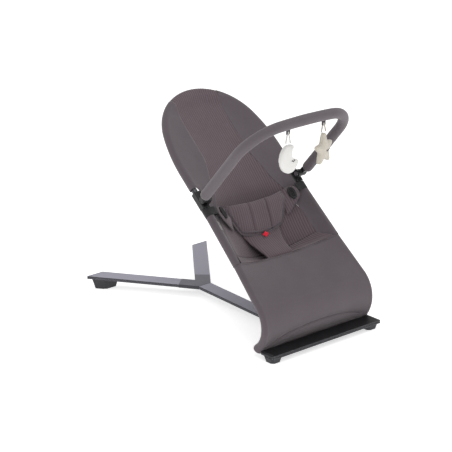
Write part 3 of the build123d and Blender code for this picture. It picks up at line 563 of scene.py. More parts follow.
def coated_metal(name, colour, painted_flank_shade, wear_and_highlight_colour, sharpness, grain_scale=900.0):
    """Powder coat, with painted shade on faces turned away from up and painted light on the tops, and edges
    lighter from rubbing and from painted highlight.
    """
    material, tree, shader = blank(name, 0.5, {"Specular IOR Level": 0.4})
    where = object_place(tree)
    # Painted shade: faces turned away from up take the darker flank colour, and the top colour stands in
    # for light falling on the tops.
    facing = add(tree, "ShaderNodeSeparateXYZ", {0: add(tree, "ShaderNodeNewGeometry").outputs["Normal"]})
    top_light_share = add(tree, "ShaderNodeMapRange", {0: facing.outputs[2], 1: 0.35, 2: 0.8})
    lit_and_shaded_tone = mix(tree, top_light_share.outputs[0], painted_flank_shade, colour)
    dye = use(tree, "mottle", Vector=where, Colour=lit_and_shaded_tone, Scale=9.0, Amount=0.12)
    skin = use(tree, "grain", Vector=where, Scale=grain_scale)
    wear_and_highlight = use(tree, "edge_wear_and_highlight", Vector=where, Sharpness=sharpness)
    # The edges take the lighter colour: rubbed wear and painted highlight together.
    base = mix(tree, wear_and_highlight.outputs["Mask"], dye.outputs[0], wear_and_highlight_colour)
    tree.links.new(base, shader.inputs["Base Color"])
    rough = maths(tree, "MULTIPLY_ADD", skin.outputs["Rough"], 0.25, 0.33)
    tree.links.new(rough, shader.inputs["Roughness"])
    bump(tree, shader, skin.outputs["Height"], 0.25, 0.0002)
    return material


def moulded_plastic(name, colour, wear_and_highlight_colour, roughness=0.45):
    """Injection-moulded nylon with a fine spark texture."""
    material, tree, shader = blank(name, roughness, {"Specular IOR Level": 0.45})
    where = object_place(tree)
    dye = use(tree, "mottle", Vector=where, Colour=colour, Scale=20.0, Amount=0.2)
    skin = use(tree, "grain", Vector=where, Scale=1600.0)
    wear_and_highlight = use(tree, "edge_wear_and_highlight", Vector=where, Sharpness=2.0)
    # The edges take the lighter colour: rubbed wear and painted highlight together.
    tree.links.new(mix(tree, wear_and_highlight.outputs["Mask"], dye.outputs[0], wear_and_highlight_colour), shader.inputs["Base Color"])
    rough = maths(tree, "MULTIPLY_ADD", skin.outputs["Rough"], 0.2, roughness - 0.1)
    tree.links.new(rough, shader.inputs["Roughness"])
    bump(tree, shader, skin.outputs["Height"], 0.3, 0.0002)
    return material


def bright_steel(name, colour):
    """Plated steel with fine drawn scratches."""
    material, tree, shader = blank(name, 0.35, {"Metallic": 1.0})
    where = object_place(tree)
    skin = use(tree, "grain", Vector=where, Scale=500.0)
    dye = use(tree, "mottle", Vector=where, Colour=colour, Scale=30.0, Amount=0.25)
    tree.links.new(dye.outputs[0], shader.inputs["Base Color"])
    tree.links.new(maths(tree, "MULTIPLY_ADD", skin.outputs["Rough"], 0.3, 0.2), shader.inputs["Roughness"])
    bump(tree, shader, skin.outputs["Height"], 0.15, 0.0001)
    return material


def thread(name, colour):
    """Twisted sewing thread."""
    material, tree, shader = blank(name, 0.7, {"Sheen Weight": 0.2})
    where = object_place(tree)
    dye = use(tree, "mottle", Vector=where, Colour=colour, Scale=300.0, Amount=0.4)
    tree.links.new(dye.outputs[0], shader.inputs["Base Color"])
    skin = use(tree, "grain", Vector=where, Scale=2500.0)
    bump(tree, shader, skin.outputs["Height"], 0.5, 0.0002)
    return material


plain = plain_cloth("taupe_cotton", srgb(97, 88, 93))
sleeve_cloth = plain_cloth("taupe_sleeve_cotton", srgb(103, 95, 100))
# The ribbed mesh's second colour is painted shade for the grooves between its ribs.
ribbed = ribbed_cloth("ribbed_mesh", srgb(112, 98, 103), srgb(78, 68, 73))
webbing_black = webbing_cloth("black_webbing", srgb(30, 30, 32))
tab_tape = webbing_cloth("dark_taupe_tape", srgb(62, 56, 62))
ribbon_white = webbing_cloth("white_ribbon", srgb(226, 224, 220), 0.0008)
ribbon_sand = webbing_cloth("sand_ribbon", srgb(205, 198, 188), 0.0008)
label_tape = webbing_cloth("pale_label_tape", srgb(150, 148, 146), 0.0006)
tag_tape = webbing_cloth("red_tag_tape", srgb(224, 6, 46), 0.0007)
moon_fleece = fleece("white_fleece", srgb(236, 235, 232))
star_fleece = fleece("sand_fleece", srgb(208, 201, 188))
taupe_thread = thread("taupe_thread", srgb(66, 59, 63))
dark_thread = thread("dark_thread", srgb(40, 36, 38))
# Coated finishes: a top colour, a flank colour for the painted shade on faces turned away from up, and an
# edge colour for rubbed wear and painted highlight; the arms' top colour is raised as painted light.
bar_coat = coated_metal("black_bar_coat", srgb(26, 26, 28), srgb(30, 30, 34), srgb(132, 132, 138), 7.0)
arm_coat = coated_metal("grey_arm_coat", srgb(172, 171, 184), srgb(56, 56, 62), srgb(176, 175, 186), 3.0)
hub_coat = coated_metal("dark_hub_coat", srgb(126, 125, 133), srgb(60, 60, 66), srgb(150, 149, 155), 3.0)
foot_plastic = moulded_plastic("charcoal_plastic", srgb(46, 46, 50), srgb(96, 96, 100), 0.6)
black_plastic = moulded_plastic("black_nylon", srgb(24, 24, 26), srgb(92, 92, 95), 0.35)
steel = bright_steel("zinc_steel", srgb(176, 176, 180))
tube_steel = bright_steel("coated_tube", srgb(92, 92, 96))


# ---------------------------------------------------------------- floor, light and camera
FLOOR_HALF = 9000


def make_stage():
    material = blank("white_floor", 0.9, {
        "Specular IOR Level": 0.1, "Base Color": (0.93, 0.93, 0.93, 1),
        "Emission Color": (1, 1, 1, 1), "Emission Strength": 0.62,
    })[0]
    corners = [(FLOOR_HALF * x, FLOOR_HALF * y, 0) for x, y in ((-1, -1), (1, -1), (1, 1), (-1, 1))]
    floor = new_piece("floor", corners, [(0, 1, 2, 3)], material)


def area_light(name, place, target, size, power):
    data = bpy.data.lights.new(name, "AREA")
    data.shape = "DISK"
    data.size = size
    data.energy = power
    lamp = bpy.data.objects.new(name, data)
    lamp.location = place
    lamp.rotation_euler = (Vector(target) - Vector(place)).to_track_quat("-Z", "Y").to_euler()
    bpy.context.scene.collection.objects.link(lamp)


def make_light():
    world = bpy.data.worlds.new("studio")
    world.use_nodes = True
    sky = world.node_tree.nodes["Background"]
    sky.inputs["Color"].default_value = (1, 1, 1, 1)
    sky.inputs["Strength"].default_value = 0.5
    bpy.context.scene.world = world
    area_light("key", (-1.6, -2.2, 3.2), (0, 0, 0.25), 2.2, 34)
    area_light("fill", (2.8, -1.6, 1.8), (0, 0, 0.25), 2.4, 10)
    area_light("top", (0.2, 0.6, 3.4), (0, 0, 0.3), 2.2, 20)
    bpy.context.scene.view_settings.view_transform = "Standard"


def make_camera():
    turn, rise = math.radians(-41.034), math.radians(19.736)
    back = Vector((math.sin(turn) * math.cos(rise), -math.cos(turn) * math.cos(rise), math.sin(rise)))
    right = Vector((math.cos(turn), math.sin(turn), 0))
    above = back.cross(right)
    target = Vector((0, -0.183, 0.25)) - right * 0.1432 + above * 0.0398
    data = bpy.data.cameras.new("camera")
    data.lens = 175.16
    data.sensor_width = 36
    data.clip_end = 50
    camera = bpy.data.objects.new("camera", data)
    facing = Matrix((right, above, back)).transposed().to_4x4()
    camera.matrix_world = Matrix.Translation(target + back * 6) @ facing
    bpy.context.scene.collection.objects.link(camera)
    bpy.context.scene.camera = camera


make_stage()
make_light()
make_camera()


# ---------------------------------------------------------------- finishes on the frame
finishes = [
    (bar_coat, ["front_crossbar", "crossbar_caps", "spine_wedge"]),
    (arm_coat, ["spine", "rear_arm_left", "rear_arm_right"]),
    (hub_coat, ["arm_hub"]),
    (foot_plastic, ["front_foot_left", "front_foot_right", "rear_foot_left", "rear_foot_right"]),
    (black_plastic, [
        "arm_caps", "hinge_bearing_left", "hinge_bearing_right", "plunger_knob",
        "corner_elbow_left", "corner_elbow_right", "tube_coupler_left", "tube_coupler_right",
        "arch_fitting_left", "arch_fitting_right",
    ]),
    (steel, [
        "hub_screws", "base_screws", "coupler_screws", "recline_sector", "lock_bracket",
        "plunger_sleeve", "plunger_spring", "plunger_pin", "arch_pins",
    ]),
    (tube_steel, ["hinge_tube", "lower_tube_left", "lower_tube_right", "upper_tube", "arch_tube"]),
    (tab_tape, ["toy_tabs"]),
]
for material, names in finishes:
    for name in names:
        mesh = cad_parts[name].data
        mesh.materials.clear()
        mesh.materials.append(material)


# ---------------------------------------------------------------- stitches
def make_stitch_tree():
    """Geometry nodes: a row of thread stitches along an edge line."""
    tree = bpy.data.node_groups.new("stitch_row", "GeometryNodeTree")
    sockets = {}
    for label, kind, value in (
        ("Geometry", "NodeSocketGeometry", None), ("Pitch", NUMBER, 0.0034),
        ("Thread", NUMBER, 0.0004), ("Stitch", NUMBER, 0.0024),
        ("Material", "NodeSocketMaterial", None),
    ):
        socket = tree.interface.new_socket(label, in_out="INPUT", socket_type=kind)
        if value is not None:
            socket.default_value = value
        sockets[label] = socket.identifier
    tree.interface.new_socket("Geometry", in_out="OUTPUT", socket_type="NodeSocketGeometry")
    into, out = tree.nodes.new("NodeGroupInput"), tree.nodes.new("NodeGroupOutput")
    line = add(tree, "GeometryNodeMeshToCurve", {0: into.outputs["Geometry"]})
    spots = add(tree, "GeometryNodeResampleCurve", {"Curve": line.outputs[0]})
    spots.mode = "LENGTH"
    tree.links.new(into.outputs["Pitch"], spots.inputs["Length"])
    ball = add(tree, "GeometryNodeMeshIcoSphere", {"Radius": 1.0, "Subdivisions": 2})
    tangent = add(tree, "GeometryNodeInputTangent")
    turn = add(tree, "FunctionNodeAlignRotationToVector", {"Vector": tangent.outputs[0]}, axis="X")
    half = add(tree, "ShaderNodeMath", {0: into.outputs["Stitch"], 1: 0.5}, operation="MULTIPLY")
    size = add(tree, "ShaderNodeCombineXYZ", {
        0: half.outputs[0], 1: into.outputs["Thread"], 2: into.outputs["Thread"],
    })
    placed = add(tree, "GeometryNodeInstanceOnPoints", {
        "Points": spots.outputs[0], "Instance": ball.outputs[0],
        "Rotation": turn.outputs[0], "Scale": size.outputs[0],
    })
    real = add(tree, "GeometryNodeRealizeInstances", {0: placed.outputs[0]})
    painted = add(tree, "GeometryNodeSetMaterial", {
        "Geometry": real.outputs[0], "Material": into.outputs["Material"],
    })
    tree.links.new(painted.outputs[0], out.inputs[0])
    return tree, sockets


stitch_tree, stitch_sockets = make_stitch_tree()


def stitches(name, lines, material, pitch=3.4, stitch=2.4, thick=0.42):
    """Rows of stitches along lines of points."""
    points = []
    edges = []
    for line in lines:
        edges += [(len(points) + i, len(points) + i + 1) for i in range(len(line) - 1)]
        points += list(line)
    mesh = bpy.data.meshes.new(name)
    mesh.from_pydata([tuple(p) for p in np.array(points) * MM], edges, [])
    piece = bpy.data.objects.new(name, mesh)
    bpy.context.scene.collection.objects.link(piece)
    rows = piece.modifiers.new("rows", "NODES")
    rows.node_group = stitch_tree
    rows[stitch_sockets["Pitch"]] = pitch * MM
    rows[stitch_sockets["Thread"]] = thick * MM
    rows[stitch_sockets["Stitch"]] = stitch * MM
    rows[stitch_sockets["Material"]] = material
    apply_to_mesh(piece)
    piece.data.shade_smooth()
    return piece


# ---------------------------------------------------------------- seat cover
def crown_top(x):
    """Where the cover reaches the loop's shoulder at the head end."""
    reach = CROWN_R + SHOULDER_IN
    return CROWN_S + math.sqrt(reach**2 - x**2)


def panel_half(s):
    return stations_at(panel_stations, s)[0]


def panel_depth(part, s):
    """Depth of the ribbed panel: part is -1 to 1 between its seams."""
    _, edge, middle = stations_at(panel_stations, s)
    depth = edge + (middle - edge) * (1 - part * part)
    near = 1 - (crown_top(part * SEAM_X) - s) / 42
    return depth + (SHOULDER_N - depth) * ease(near)


def make_centre_cover():
    """The ribbed panel from the pocket seam up the back and over the loop."""
    columns = np.linspace(-1, 1, 265)
    rows = []
    cloth = []
    for v in np.linspace(0, 1, 84):
        row = []
        flat = []
        spots = []
        for part in columns:
            s = 162 + v * (crown_top(part * SEAM_X) - 162)
            spots.append((part * panel_half(s), s, panel_depth(part, s)))
        for (x, s, n), u in zip(spots, across(spots)):
            row.append(seat(x, s, n + rib(u) + softness(x, s, 1.6)))
            flat.append((u, s))
        rows.append(row)
        cloth.append(flat)
    for angle in np.linspace(SHOULDER, WRAP_END, 18)[1:]:
        row = []
        flat = []
        for part in columns:
            x = part * SEAM_X
            top = crown_top(x)
            spoke = np.array((x, top - CROWN_S)) / (CROWN_R + SHOULDER_IN)
            radius = WRAP_R + rib(x)
            reach = CROWN_R + radius * math.cos(angle)
            row.append(seat(spoke[0] * reach, CROWN_S + spoke[1] * reach, radius * math.sin(angle)))
            flat.append((x, top + WRAP_R * (SHOULDER - angle)))
        rows.append(row)
        cloth.append(flat)
    return thicken(grid("centre_cover", rows, cloth, ribbed))


def rail_stations():
    """Up the right rail: its centre in the seat's plane, the way out, and the seam's place."""
    found = []
    for s in np.arange(127, LOOP_STRAIGHT, 5.0):
        found.append((RAIL_X + 7.5 * max(0, (300 - s) / 170), s, 0.0, s))
    end_angle = math.acos(SEAM_X / (CROWN_R + SHOULDER_IN))
    length = SIDE_R * SIDE_TURN + CROWN_R * (end_angle - SIDE_TURN)
    seam_end = crown_top(SEAM_X)
    for run in np.linspace(0, length, 54):
        if run < SIDE_R * SIDE_TURN:
            angle = run / SIDE_R
            centre = (SIDE_X + SIDE_R * math.cos(angle), LOOP_STRAIGHT + SIDE_R * math.sin(angle))
        else:
            angle = SIDE_TURN + (run - SIDE_R * SIDE_TURN) / CROWN_R
            centre = (CROWN_R * math.cos(angle), CROWN_S + CROWN_R * math.sin(angle))
        seam = LOOP_STRAIGHT + (seam_end - LOOP_STRAIGHT) * run / length
        found.append((*centre, angle, seam))
    return found


def notch_share(s):
    """1 beside the coupler, where the cover stops short of the rail, and 0 away from it."""
    return ease((s - 303) / 7) * ease((377 - s) / 7)


def make_side_cover():
    """The plain panel from the seam to the rail, and its tunnel round the rail."""
    rows = []
    cloth = []
    stations = rail_stations()
    shares = np.linspace(0, 1, 22)
    wraps = np.linspace(SHOULDER, WRAP_END, 18)[1:]
    for x, s, angle, seam in stations:
        out = np.array((math.cos(angle), math.sin(angle)))
        centre = np.array((x, s))
        notch = notch_share(s)
        inner = np.array((panel_half(seam), seam))
        shoulder = centre + out * (SHOULDER_IN - notch * 10.5)
        rim = SHOULDER_N - notch * 8
        depth = panel_depth(1.0, seam)
        row = []
        flat = []
        for share in shares:
            spot = inner + (shoulder - inner) * share
            n = depth + (rim - depth) * share**1.7
            swell = softness(spot[0], spot[1], 2.6) * math.sin(math.pi * share)
            row.append(seat(spot[0], spot[1], n + swell))
            flat.append(tuple(spot))
        for turn in wraps:
            spot = centre + out * WRAP_R * math.cos(turn)
            row.append(seat(spot[0], spot[1], WRAP_R * math.sin(turn)))
            flat.append(tuple(shoulder + out * WRAP_R * (SHOULDER - turn)))
        rows.append(row)
        cloth.append(flat)
    clear = [notch_share(s) < 0.01 for _, s, _, _ in stations]

    def keep(i, j):
        return j < len(shares) - 1 or (clear[i] and clear[i + 1])

    return thicken(grid("side_cover_right", rows, cloth, plain, keep=keep, flip=True))


def make_pocket():
    """The front wall of the seat pocket, up to the apron's edge."""
    rows = []
    cloth = []
    columns = np.linspace(-1, 1, 265)
    for v in np.linspace(0, 1, 22):
        row = []
        flat = []
        spots = []
        for part in columns:
            low = np.array((part * 146, 162, panel_depth(part, 162)))
            rim = 7 - 25 * (1 - abs(part) ** 2.2)
            high = np.array((part * 168, 127.5, rim))
            bulge = math.sin(math.pi * v) * 9 * (1 - part * part)
            spots.append(low + (high - low) * v - np.array((0, bulge * 0.5, bulge)))
        for spot, u in zip(spots, across(spots)):
            row.append(seat(spot[0], spot[1] + rib(u) * 0.8, spot[2] + rib(u)))
            flat.append((u, v * 60))
        rows.append(row)
        cloth.append(flat)
    return thicken(grid("pocket", rows, cloth, ribbed, flip=True))


# ---------------------------------------------------------------- apron
def bend_spot(radius, angle):
    """A point of the front bend in the side view."""
    centre = seat(0, BEND_S, -BEND_R)
    return np.array((0, centre[1] + radius * math.cos(angle), centre[2] + radius * math.sin(angle)))


def apron_profiles():
    """Down the apron: its middle, the rail's centre, and the way out of the bend there."""
    first = TILT + math.pi / 2
    rows = []
    for s in np.linspace(128, BEND_S, 26):
        share = (128 - s) / (128 - BEND_S)
        rail = seat(179.8 + 10.6 * share, s, 0)
        rows.append((seat(0, s, stations_at(apron_stations, s)[0]), rail, OUT, 128 - s))
    middle_turn = math.radians(192) - first
    rail_turn = math.radians(87.8)
    for share in np.linspace(0, 1, 30)[1:]:
        pinch = 6.5 * max(0.0, (share - 0.84) / 0.16) ** 2
        middle = bend_spot(BEND_R + 9 - pinch, first + middle_turn * share)
        angle = first + rail_turn * share
        rail = bend_spot(BEND_R, angle) + ACROSS * (190.4 + 3 * share)
        rows.append((middle, rail, np.array((0, math.cos(angle), math.sin(angle))), 133 + 110 * share))
    crease, rail_end, out = rows[-1][0], rows[-1][1], rows[-1][2]
    lip = np.array((0, BAR_BACK + 2.8, 29.5))
    tuck = np.array((0, BAR_BACK + 4.5, 17.0))
    axis = np.array((192.5, BAR_BACK + 16, 25.0))
    front = np.array((0, -1.0, -0.05))
    for share in np.linspace(0, 1, 21)[1:]:
        if share < 0.8:
            part = share / 0.8
            band = math.sin(math.pi * part**0.8) ** 0.6 * 9
            middle = crease + (lip - crease) * part + front * band
        else:
            middle = lip + (tuck - lip) * (share - 0.8) / 0.2
        rail = rail_end + (axis - rail_end) * share
        rows.append((middle, rail, out, 243 + 42 * share))
    return rows


def make_apron_cover():
    """The plain apron, sagging at its top edge, round the bend and tucked behind the bar."""
    shares = np.linspace(-1, 1, 91)
    wraps = np.linspace(SHOULDER, WRAP_END, 16)[1:]
    rows = []
    cloth = []
    for middle, rail, out, length in apron_profiles():
        flare = 3.5 * ease((length - 215) / 70)
        radius = WRAP_R + 0.3 + flare
        row = []
        flat = []
        for turn in reversed(wraps):
            spoke = -ACROSS * math.cos(turn) + out * math.sin(turn)
            row.append(rail * (-1, 1, 1) + spoke * radius)
            flat.append((-rail[0] - radius * (SHOULDER - turn), length))
        for share in shares:
            edge = rail + ACROSS * radius * math.cos(SHOULDER) + out * radius * math.sin(SHOULDER)
            spot = middle + (edge - middle) * abs(share) ** APRON_SAG
            spot[0] = share * edge[0]
            spot = spot + out * softness(spot[0], length, 1.8) * (1 - share**4)
            row.append(spot)
            flat.append((spot[0], length))
        for turn in wraps:
            spoke = ACROSS * math.cos(turn) + out * math.sin(turn)
            row.append(rail + spoke * radius)
            flat.append((rail[0] + radius * (SHOULDER - turn), length))
        rows.append(row)
        cloth.append(flat)
    return thicken(grid("apron_cover", rows, cloth, plain, flip=True))


def make_hem_tunnels():
    """The hem's four tunnels round the hinge tube."""
    hinge = np.array((0, BAR_BACK + 16, 25.0))
    parts = []
    for x0, x1 in ((-164, -121), (-84, -24), (46, 84), (121, 164)):
        line = [hinge + ACROSS * x for x in np.linspace(x0, x1, 12)]
        parts.append(tube("hem", line, 9.9, plain, ends=False, swell=lambda d, a: 0.25 * math.sin(d * 0.9)))
    return thicken(join("hem_tunnels", parts))


def make_cover_stitches():
    """Top stitching beside the cover's seams and along the apron's edge."""
    seams = []
    for side in (-1, 1):
        line = []
        for s in np.linspace(165, crown_top(SEAM_X) - 2, 90):
            x = panel_half(s) + 3
            line.append(seat(side * x, s, panel_depth(1.0, s) + 0.9))
        seams.append(line)
    edge = []
    middle, rail, out, _ = apron_profiles()[1]
    shoulder = rail + ACROSS * SHOULDER_IN + out * (SHOULDER_N + 0.3)
    for share in np.linspace(-1, 1, 90):
        spot = middle + (shoulder - middle) * abs(share) ** APRON_SAG
        spot[0] = share * shoulder[0]
        edge.append(spot + out * 0.5)
    return stitches("cover_stitches", seams + [edge], taupe_thread)


# ---------------------------------------------------------------- harness
def pad(name, stations, low_edge, high_edge, thick, columns, steps, grooves=()):
    """A closed ribbed pad: its ends are curves low_edge(part) and high_edge(part)."""
    sheets = []
    for face in (1, 0):
        rows = []
        cloth = []
        for v in np.linspace(0, 1, steps):
            row = []
            flat = []
            for part in np.linspace(-1, 1, columns):
                s = low_edge(part) + v * (high_edge(part) - low_edge(part))
                half, under = stations_at(stations, s)
                x = part * half
                fill = math.sqrt(max(0.0, (1 - abs(part) ** 5) * (1 - abs(2 * v - 1) ** 5)))
                height = face * fill * (thick + rib(x))
                for groove in grooves:
                    height -= face * fill * thick * 0.45 * math.exp(-(((x - groove) / 3.0) ** 2))
                row.append(seat(x, s, under + height + softness(x, s, 3)))
                flat.append((x, s))
            rows.append(row)
            cloth.append(flat)
        sheets.append(grid(name, rows, cloth, ribbed, flip=face == 0))
    return finish_mesh(join(name, sheets), True)


def flap_low(part):
    return 213 + 15 * abs(part) ** 2.2


def flap_high(part):
    return 306 - 7 * (1 - part * part)


def make_flap():
    return pad("harness_flap_pad", flap_stations, flap_low, flap_high, FLAP_THICK, 170, 46, (-31, 31))


def make_strap():
    def low(part):
        return 131.0

    def high(part):
        return 222 + 20 * part * part

    return pad("crotch_strap_pad", strap_stations, low, high, 5.5, 90, 40)


def flap_outline(inset):
    """The flap's side and bottom edge, for its piping."""
    line = []
    for v in np.linspace(0.94, 0.04, 16):
        line.append((-1 + inset / 90, v))
    for part in np.linspace(-1 + inset / 90, 1 - inset / 90, 50):
        line.append((part, inset / 92))
    for v in np.linspace(0.04, 0.94, 16):
        line.append((1 - inset / 90, v))
    points = []
    for part, v in line:
        s = flap_low(part) + v * (flap_high(part) - flap_low(part))
        half, under = stations_at(flap_stations, s)
        fill = math.sqrt(max(0.0, (1 - abs(part) ** 5) * (1 - abs(2 * v - 1) ** 5)))
        points.append(seat(part * half, s, under + FLAP_THICK * fill + softness(part * half, s, 3)))
    return np.array(points)


def soften(points, rounds=3):
    """Takes the corners off a line of points."""
    points = np.array(points, float)
    for _ in range(rounds):
        points[1:-1] = (points[:-2] + 2 * points[1:-1] + points[2:]) / 4
    return points


def make_flap_piping():
    parts = []
    for inset, radius, cloth in ((0.5, 2.0, plain), (4.2, 1.0, tab_tape), (7.5, 1.5, plain)):
        parts.append(tube("piping", soften(flap_outline(inset)), radius, cloth, side=OUT, sides=10))
    return join("flap_piping", parts)


def turned_in(x, s, n):
    """A place on the wing or its toggle, whose outer edge is raised round the toggle's middle."""
    away = x - TOGGLE[0]
    turned = TOGGLE[0] + away * math.cos(WING_TILT) - n * math.sin(WING_TILT)
    return seat(turned, s, away * math.sin(WING_TILT) + n * math.cos(WING_TILT))


def wing_outline():
    """Round the toggle, then along straight edges that widen to the flap."""
    ring = []
    for angle in np.linspace(math.radians(-62), math.radians(86), 34):
        ring.append((TOGGLE[0] + 18.5 * math.cos(angle), TOGGLE[1] + 22.5 * math.sin(angle)))
    corners = [ring[-1], (94, 306), (88, 240), ring[0]]
    for (x0, s0), (x1, s1) in zip(corners, corners[1:]):
        for t in np.linspace(0, 1, 14)[1:]:
            ring.append((x0 + (x1 - x0) * t, s0 + (s1 - s0) * t))
    return ring


def wing_place(x, s, height):
    """On the wing, which sinks under the flap towards its lower corner."""
    sink = 0.34 * max(0.0, TOGGLE[1] - 14 - s)
    return turned_in(x, s, height - 2 - sink)


def make_wing():
    """A ribbed tab from the flap to the rail strap, with a hole for the toggle."""
    rows = []
    cloth = []
    for x, s in wing_outline():
        row = []
        flat = []
        angle = math.atan2((s - TOGGLE[1]) / 15.5, (x - TOGGLE[0]) / 8)
        hole = np.array((TOGGLE[0] + 8 * math.cos(angle), TOGGLE[1] + 15.5 * math.sin(angle)))
        for k in range(30):
            turn = 2 * math.pi * k / 30
            share = 0.5 - 0.5 * math.cos(turn)
            spot = hole + (np.array((x, s)) - hole) * share
            height = 2.6 * math.sin(turn) if turn < math.pi else 1.4 * math.sin(turn)
            row.append(wing_place(*spot, height + (rib(spot[0]) if turn < math.pi else 0)))
            flat.append(tuple(spot))
        rows.append(row)
        cloth.append(flat)
    body = grid("wing", rows, cloth, ribbed, closed=True, ring=True)
    outline = wing_outline()
    rim = [wing_place(x, s, 0.4) for x, s in outline[-13:-3] + outline[:46]]
    parts = [body, tube("piping", soften(rim), 1.8, plain, side=OUT, sides=10)]
    collar = []
    for angle in np.linspace(0, 2 * math.pi, 50):
        x = TOGGLE[0] + 11.8 * math.cos(angle)
        collar.append(wing_place(x, TOGGLE[1] + 18.5 * math.sin(angle), 2.2))
    parts.append(tube("collar", collar, 1.3, plain, side=OUT, sides=8))
    return join("harness_wing_right", parts)


def make_toggle():
    """An oval button: a rounded rim and three bars that the webbing laces through."""
    across_half, along_half = 8.2, 16.5
    rows = []
    cloth = []
    for angle in np.linspace(0, 2 * math.pi, 57):
        row = []
        for i in range(14):
            turn = 2 * math.pi * i / 14
            x = TOGGLE[0] + (across_half + 2.8 * math.cos(turn)) * math.cos(angle)
            s = TOGGLE[1] + (along_half + 2.8 * math.cos(turn)) * math.sin(angle)
            row.append(turned_in(x, s, 3.4 + 3.0 * math.sin(turn)))
        rows.append(row)
        cloth.append([(0, 0)] * 14)
    parts = [grid("toggle_rim", rows, cloth, black_plastic, closed=True, ring=True)]
    for offset, half in ((-4.4, 13), (0, 15.5), (4.4, 13)):
        line = []
        for t in np.linspace(-1, 1, 15):
            line.append(turned_in(TOGGLE[0] + offset, TOGGLE[1] + half * t, 3.6 + 1.6 * (1 - t * t)))
        parts.append(tube("toggle_bar", line, 1.9, black_plastic, side=OUT, sides=12))
    return join("harness_toggle_right", parts)


def strip(name, line, s0, s1, thick, material, steps=9):
    """Webbing with its width up the seat, along a line of (x, n) places."""
    line = np.array(line, float)
    tangents = np.gradient(line, axis=0)
    tangents /= np.linalg.norm(tangents, axis=1)[:, None]
    normals = np.stack([-tangents[:, 1], tangents[:, 0]], axis=1)
    reach = along(line)
    rows = []
    cloth = []
    for k, (x, n) in enumerate(line):
        row = []
        flat = []
        edge = thick * 0.35
        inner = s1 - s0 - 2 * edge
        section = [(s0, 0)] + [(s0 + edge + inner * i / steps, 1) for i in range(steps + 1)]
        section += [(s1, 0)] + [(s1 - edge - inner * i / steps, -1) for i in range(steps + 1)]
        for s, face in section:
            offset = normals[k] * thick / 2 * face
            row.append(seat(x + offset[0], s, n + offset[1]))
            flat.append((s, reach[k]))
        rows.append(row)
        cloth.append(flat)
    piece = grid(name, rows, cloth, material, closed=False, ring=True)
    work = bmesh.new()
    work.from_mesh(piece.data)
    bmesh.ops.holes_fill(work, edges=[e for e in work.edges if e.is_boundary])
    bmesh.ops.recalc_face_normals(work, faces=work.faces)
    work.to_mesh(piece.data)
    work.free()
    return piece


def make_rail_strap():
    """Black webbing from the toggle over the rail, round it and back under the wing."""
    radius = 12.0
    centre = (RAIL_X + 0.3, 0)
    line = [(147, 8.6), (153, 9.4), (159, 10.2), (165, 11.4)]
    for angle in np.linspace(math.radians(108), math.radians(-140), 30):
        line.append((centre[0] + radius * math.cos(angle), centre[1] + radius * math.sin(angle)))
    line += [(156, -7.0), (150, -3.5), (146, 1.0)]
    return strip("rail_strap_right", soften(np.array(line), 2), 286, 310, 1.5, webbing_black)


def make_tag():
    """A small folded diamond of red tape in the flap's bottom seam."""
    rows = []
    cloth = []
    for v in np.linspace(-1, 1, 13):
        row = []
        flat = []
        for u in np.linspace(-1, 1, 13):
            x = (u - v) * 6.4
            s = 207.5 + (u + v) * 3.4
            n = -38 + 1.6 * math.cos(u * 1.3) + 1.2 * v + (s - 208) * 0.5
            row.append(seat(x, s, n))
            flat.append((x, s))
        rows.append(row)
        cloth.append(flat)
    return thicken(grid("harness_tag_tape", rows, cloth, tag_tape), 1.2)


def make_care_label():
    """A blank tape label sewn flat beside the left rail."""
    rows = []
    cloth = []
    for s in np.linspace(243, 269, 14):
        row = []
        flat = []
        rail = RAIL_X + 7.5 * max(0, (300 - s) / 170) + SHOULDER_IN
        inner = panel_half(s)
        depth = panel_depth(1.0, s)
        for x in np.linspace(146, 161, 9):
            share = (x - inner) / (rail - inner)
            n = depth + (SHOULDER_N - depth) * share**1.7
            row.append(seat(-x, s, n + 2.6 + 0.4 * math.sin(s * 0.5)))
            flat.append((x, s))
        rows.append(row)
        cloth.append(flat)
    return thicken(grid("care_label_tape", rows, cloth, label_tape, flip=True), 0.5)


# ---------------------------------------------------------------- toy arch
def arch_line():
    """The arch's centre line, from foot to foot."""
    foot, bend = (ARCH_HALF + 2, ARCH_FOOT), (ARCH_HALF, ARCH_TOP - ARCH_FALL)
    spots = [foot, bend, (0, ARCH_TOP), (-bend[0], bend[1]), (-foot[0], foot[1])]
    return rounded_path([seat(x, ARCH_S, n) for x, n in spots], (105, 900, 105), 4.0)


def make_arch_sleeve():
    """The padded sleeve, gathered at its feet and creased inside its bends."""
    line = arch_line()
    reach = along(line)
    total = reach[-1]
    height = (line - SEAT_ORIGIN) @ OUT
    tangents = np.gradient(line, axis=0)
    level = np.abs(tangents @ OUT) / np.linalg.norm(tangents, axis=1)
    corner = np.clip(1 - np.abs(level - 0.6) / 0.4, 0, 1) * (height > 180)

    def swell(distance, angle):
        end = min(distance, total - distance)
        gather = -0.6 * math.exp(-end / 3) + 0.4 * math.exp(-((end - 11) / 5) ** 2)
        inside = max(0.0, -math.cos(angle)) ** 2
        fold = float(np.interp(distance, reach, corner)) * inside
        fold *= 1.9 * math.sin(distance * 0.42) + 0.8 * math.sin(distance * 0.87) - 1.2
        drift = noise.noise(Vector((distance * 0.02, math.cos(angle) * 0.8, math.sin(angle) * 0.8)))
        return gather + fold + 0.5 * drift

    body = tube("arch_pad", line, ARCH_R, sleeve_cloth, side=OUT, sides=48, swell=swell)
    first, _ = frames_along(line, OUT)
    seam_line = (line - first * (ARCH_R - SEAM_SUNK))[3:-3]
    seam = tube("arch_seam", seam_line, 0.8, sleeve_cloth, side=OUT, sides=8)
    return join("arch_pad", [body, seam])


